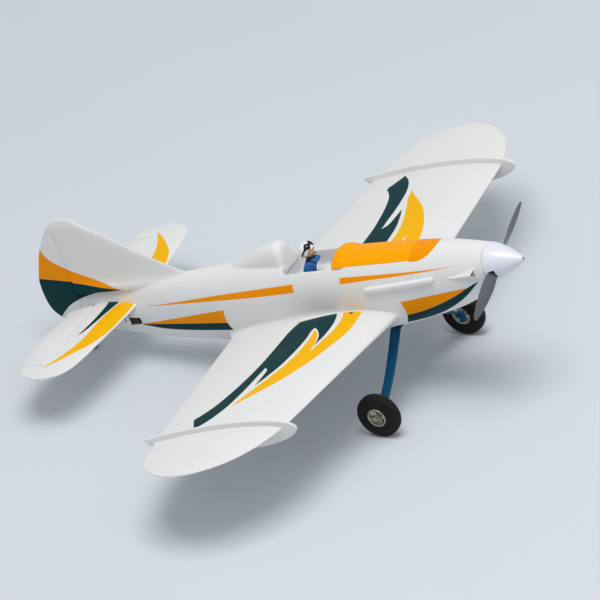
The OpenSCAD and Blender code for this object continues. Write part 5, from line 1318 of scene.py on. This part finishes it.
def make_pilot():
    centre = Vector((-PILOT_S, 0, HEAD_Z))

    def torso():
        rings = []
        for z in steps(60, TORSO[0][0], TORSO[-1][0]):
            w, d, lead = (curve(TORSO, z, k) for k in (1, 2, 3))
            rings.append([(-PILOT_S + lead + d * power(sin(a), 0.85), w * power(cos(a), 0.85), z)
                          for a in steps(64, 0, tau)[:-1]])
        return softened(loft(rings), 0.4, 2, 60)
    piece("pilot_suit", torso(), "airframe", "suit", SUIT, "pilot_torso")

    def face():
        bm = bmesh.new()
        bmesh.ops.create_uvsphere(bm, u_segments=64, v_segments=48, radius=1)
        for vert in bm.verts:
            d = vert.co.copy()
            out = 1
            for toward, width, height in FACE_SWELLS:
                away = (d - Vector(toward).normalized()).length / width
                out += height * exp(-away * away)
            vert.co = Vector([size * share for size, share in zip(FACE_SIZE, d)]) * out
        bm.transform(Matrix.Translation(centre + FACE_PLACE))
        return bm
    piece("pilot_face", face(), "airframe", "skin", SKIN, "pilot_head", smooth=180)

    def helmet():
        r = HELMET_D / 2
        shell = ball(centre, r, 5)
        bore = ball(centre + FACE_PLACE, r - HELMET_WALL, 4)
        window = block(PILOT_S - r - 4, PILOT_S - WINDOW_EDGE, -WINDOW_HALF_W, WINDOW_HALF_W,
                       HEAD_Z - r - 4, HEAD_Z + WINDOW_EDGE)
        window = softened(window, 2.5, 3)
        base = block(PILOT_S - 20, PILOT_S + 20, -20, 20, HEAD_Z - 20, HEAD_Z - HELMET_RIM)
        return fused(carved(shell, bore, window, base), 0.45, 3)
    piece("pilot_helmet_shell", helmet(), "airframe", "helmet", HELMET, "pilot_helmet")

    def goggles():
        """Goggles pushed up on the brow, on a strap that runs down over the ears."""
        across = Vector((0, 1, 0))
        aside = BROW.cross(across)
        rings = []
        for turn in steps(120, -pi + 0.001, pi - 0.001):
            lens = exp(-((abs(turn) - LENS_TURN) / LENS_SPREAD) ** 2)
            out = BROW * cos(turn) + across * sin(turn)
            ring = []
            for a in steps(20, 0, tau)[:-1]:
                width = (STRAP_W + LENS_W * lens) * power(sin(a), 0.7)
                deep = STRAP_R + (STRAP_T + LENS_T * lens) * power(cos(a), 0.7)
                sag = sqrt(1 - (width / SAG_R) ** 2)
                ring.append(centre + out * deep * sag + aside * width)
            rings.append(ring)
        return loft(rings)
    piece("pilot_goggles", goggles(), "airframe", "black_plastic", GOGGLES, smooth=60)

    def boom():
        points = [centre + Vector(p) for p in BOOM]
        bars = [rod(BOOM_R, one, two, 12) for one, two in zip(points, points[1:])]
        return joined(*bars, *(ball(p, BOOM_R, 2) for p in points[:-1]), ball(points[-1], MICROPHONE_R, 3))
    piece("pilot_microphone", boom(), "airframe", "black_plastic", GOGGLES, smooth=60)


# Small parts: rounded copies of the solids they stand for, each in its paint.
def rounded_copy(node, width, paint, body):
    bm = bmesh.new()
    bm.from_mesh(frame["nodes"][node].data)
    bmesh.ops.remove_doubles(bm, verts=bm.verts, dist=0.00001)
    bmesh.ops.dissolve_limit(bm, angle_limit=radians(1), verts=bm.verts, edges=bm.edges)
    softened(bm, width * MM)
    bm.transform(STANCE.inverted())
    piece(f"{node}_finished", bm, body, paint.name, paint, node, smooth=30)


SMALL_PARTS = [
    ("elevator_servo", 0.5, BLACK_PLASTIC, "airframe"), ("rudder_servo", 0.5, BLACK_PLASTIC, "airframe"),
    ("elevator_servo_arm", 0.25, NYLON, "elevator_arm"), ("rudder_servo_arm", 0.25, NYLON, "rudder_arm"),
    ("elevator_horn", 0.25, NYLON, "elevator"), ("rudder_horn", 0.25, NYLON, "rudder"),
    ("battery", 2.0, WRAP, "airframe"), ("speed_controller", 0.8, SHRINK, "airframe"),
    ("receiver", 0.8, RECEIVER, "airframe"), ("gear_plate", 0.4, BLACK_PLASTIC, "airframe"),
    ("motor_bell", 0.4, MOTOR_GREY, "rotor"), ("tail_bearing", 0.3, BLACK_PLASTIC, "airframe"),
    ("tail_wheel_fork", 0.25, BLACK_PLASTIC, "rudder"), ("wheel_collars", 0.3, STEEL, "airframe"),
    ("propeller_nut", 0.4, STEEL, "rotor"), ("spinner_plate", 0.3, SPINNER_GLOSS, "rotor")]
# Solids that keep their own mesh and only take a paint.
CARRIED_OVER = {
    MAGNET: ("hatch_magnets", "body_magnets"), CARBON: ("wing_joiner", "elevator_joiner"),
    BLACK_SCREW: ("wing_screws",), NYLON: ("elevator_hinges", "rudder_hinges"),
    STEEL: ("elevator_hinge_pins", "rudder_hinge_pins", "spinner_screw", "motor_shaft", "machine_screws",
            "wheel_axles", "elevator_pushrod", "rudder_pushrod"),
    COPPER: ("motor_stator",), BLACK_PLASTIC: ("motor_mount",), STRAP: ("battery_strap",),
    PLYWOOD: ("equipment_tray",)}


def finish_small_parts():
    for part in SMALL_PARTS:
        rounded_copy(*part)
    for paint, nodes in CARRIED_OVER.items():
        for node in nodes:
            mesh = frame["nodes"][node].data
            mesh.materials.clear()
            mesh.materials.append(paint.material)


# Stage: pale floor and soft light.
FLOOR_SIZE = 40
SKY, SKY_STRENGTH = (0.93, 0.96, 1, 1), 0.5
LAMP_AIM = Vector((0, 0, 0.15))


def make_stage():
    floor = Paint("floor", Roughness=0.9)
    floor.feed(Base_Color=floor.blend(floor.grain(3, 3) * 0.15, srgb(214, 218, 224), srgb(204, 208, 214)))
    bm = bmesh.new()
    bmesh.ops.create_grid(bm, x_segments=1, y_segments=1, size=FLOOR_SIZE)
    mesh = bpy.data.meshes.new("floor")
    bm.to_mesh(mesh)
    bm.free()
    mesh.materials.append(floor.material)
    ground = bpy.data.objects.new("floor", mesh)
    bpy.context.scene.collection.objects.link(ground)

    world = bpy.data.worlds.new("studio")
    bpy.context.scene.world = world
    world.use_nodes = True
    sky = world.node_tree.nodes["Background"]
    sky.inputs["Color"].default_value = SKY
    sky.inputs["Strength"].default_value = SKY_STRENGTH

    def lamp(name, spot, power_w, size):
        light = bpy.data.lights.new(name, "AREA")
        light.energy, light.size = power_w, size
        holder = bpy.data.objects.new(name, light)
        holder.location = spot
        holder.rotation_euler = (LAMP_AIM - Vector(spot)).to_track_quat("-Z", "Y").to_euler()
        bpy.context.scene.collection.objects.link(holder)
    lamp("key", (0.9, -0.8, 4.7), 136, 2.6)
    lamp("fill", (3.2, 2.4, 2.2), 12, 2.4)


# Camera axes in the aeroplane's own, its distance in metres, and the photograph's scale and middle.
VIEW_RIGHT = Vector((0.811, 0.456, -0.3668))
VIEW_UP = Vector((0.071, 0.5455, 0.835))
VIEW_BACK = Vector((0.581, -0.703, 0.41))
VIEW_FAR = 30
VIEW_PIXELS_PER_MM = 0.663
VIEW_CENTRE = (-337.1, -62.4)
FRAME_PIXELS = 600


def make_camera():
    back = VIEW_BACK.normalized()
    right = VIEW_UP.cross(back).normalized()
    up = back.cross(right)
    aim = TURN.to_3x3() @ (VIEW_RIGHT * VIEW_CENTRE[0] + VIEW_UP * VIEW_CENTRE[1]) * MM + TIP
    look = TURN.to_3x3() @ Matrix((right, up, back)).transposed()
    camera = bpy.data.cameras.new("camera")
    camera.sensor_width = 36
    camera.lens = VIEW_PIXELS_PER_MM / MM * VIEW_FAR / FRAME_PIXELS * camera.sensor_width
    camera.clip_end = 200
    holder = bpy.data.objects.new("camera", camera)
    holder.matrix_world = Matrix.Translation(aim + look @ Vector((0, 0, VIEW_FAR))) @ look.to_4x4()
    bpy.context.scene.collection.objects.link(holder)
    bpy.context.scene.camera = holder


make_camera()
make_stage()
make_body()
make_hatch()
make_scoops()
make_wing()
make_tailplane()
make_elevators()
make_rudder()
make_spinner()
make_propeller()
make_wheels()
make_tail_wheel()
make_legs()
make_pilot()
finish_small_parts()
bpy.context.scene.view_settings.view_transform = "Standard"
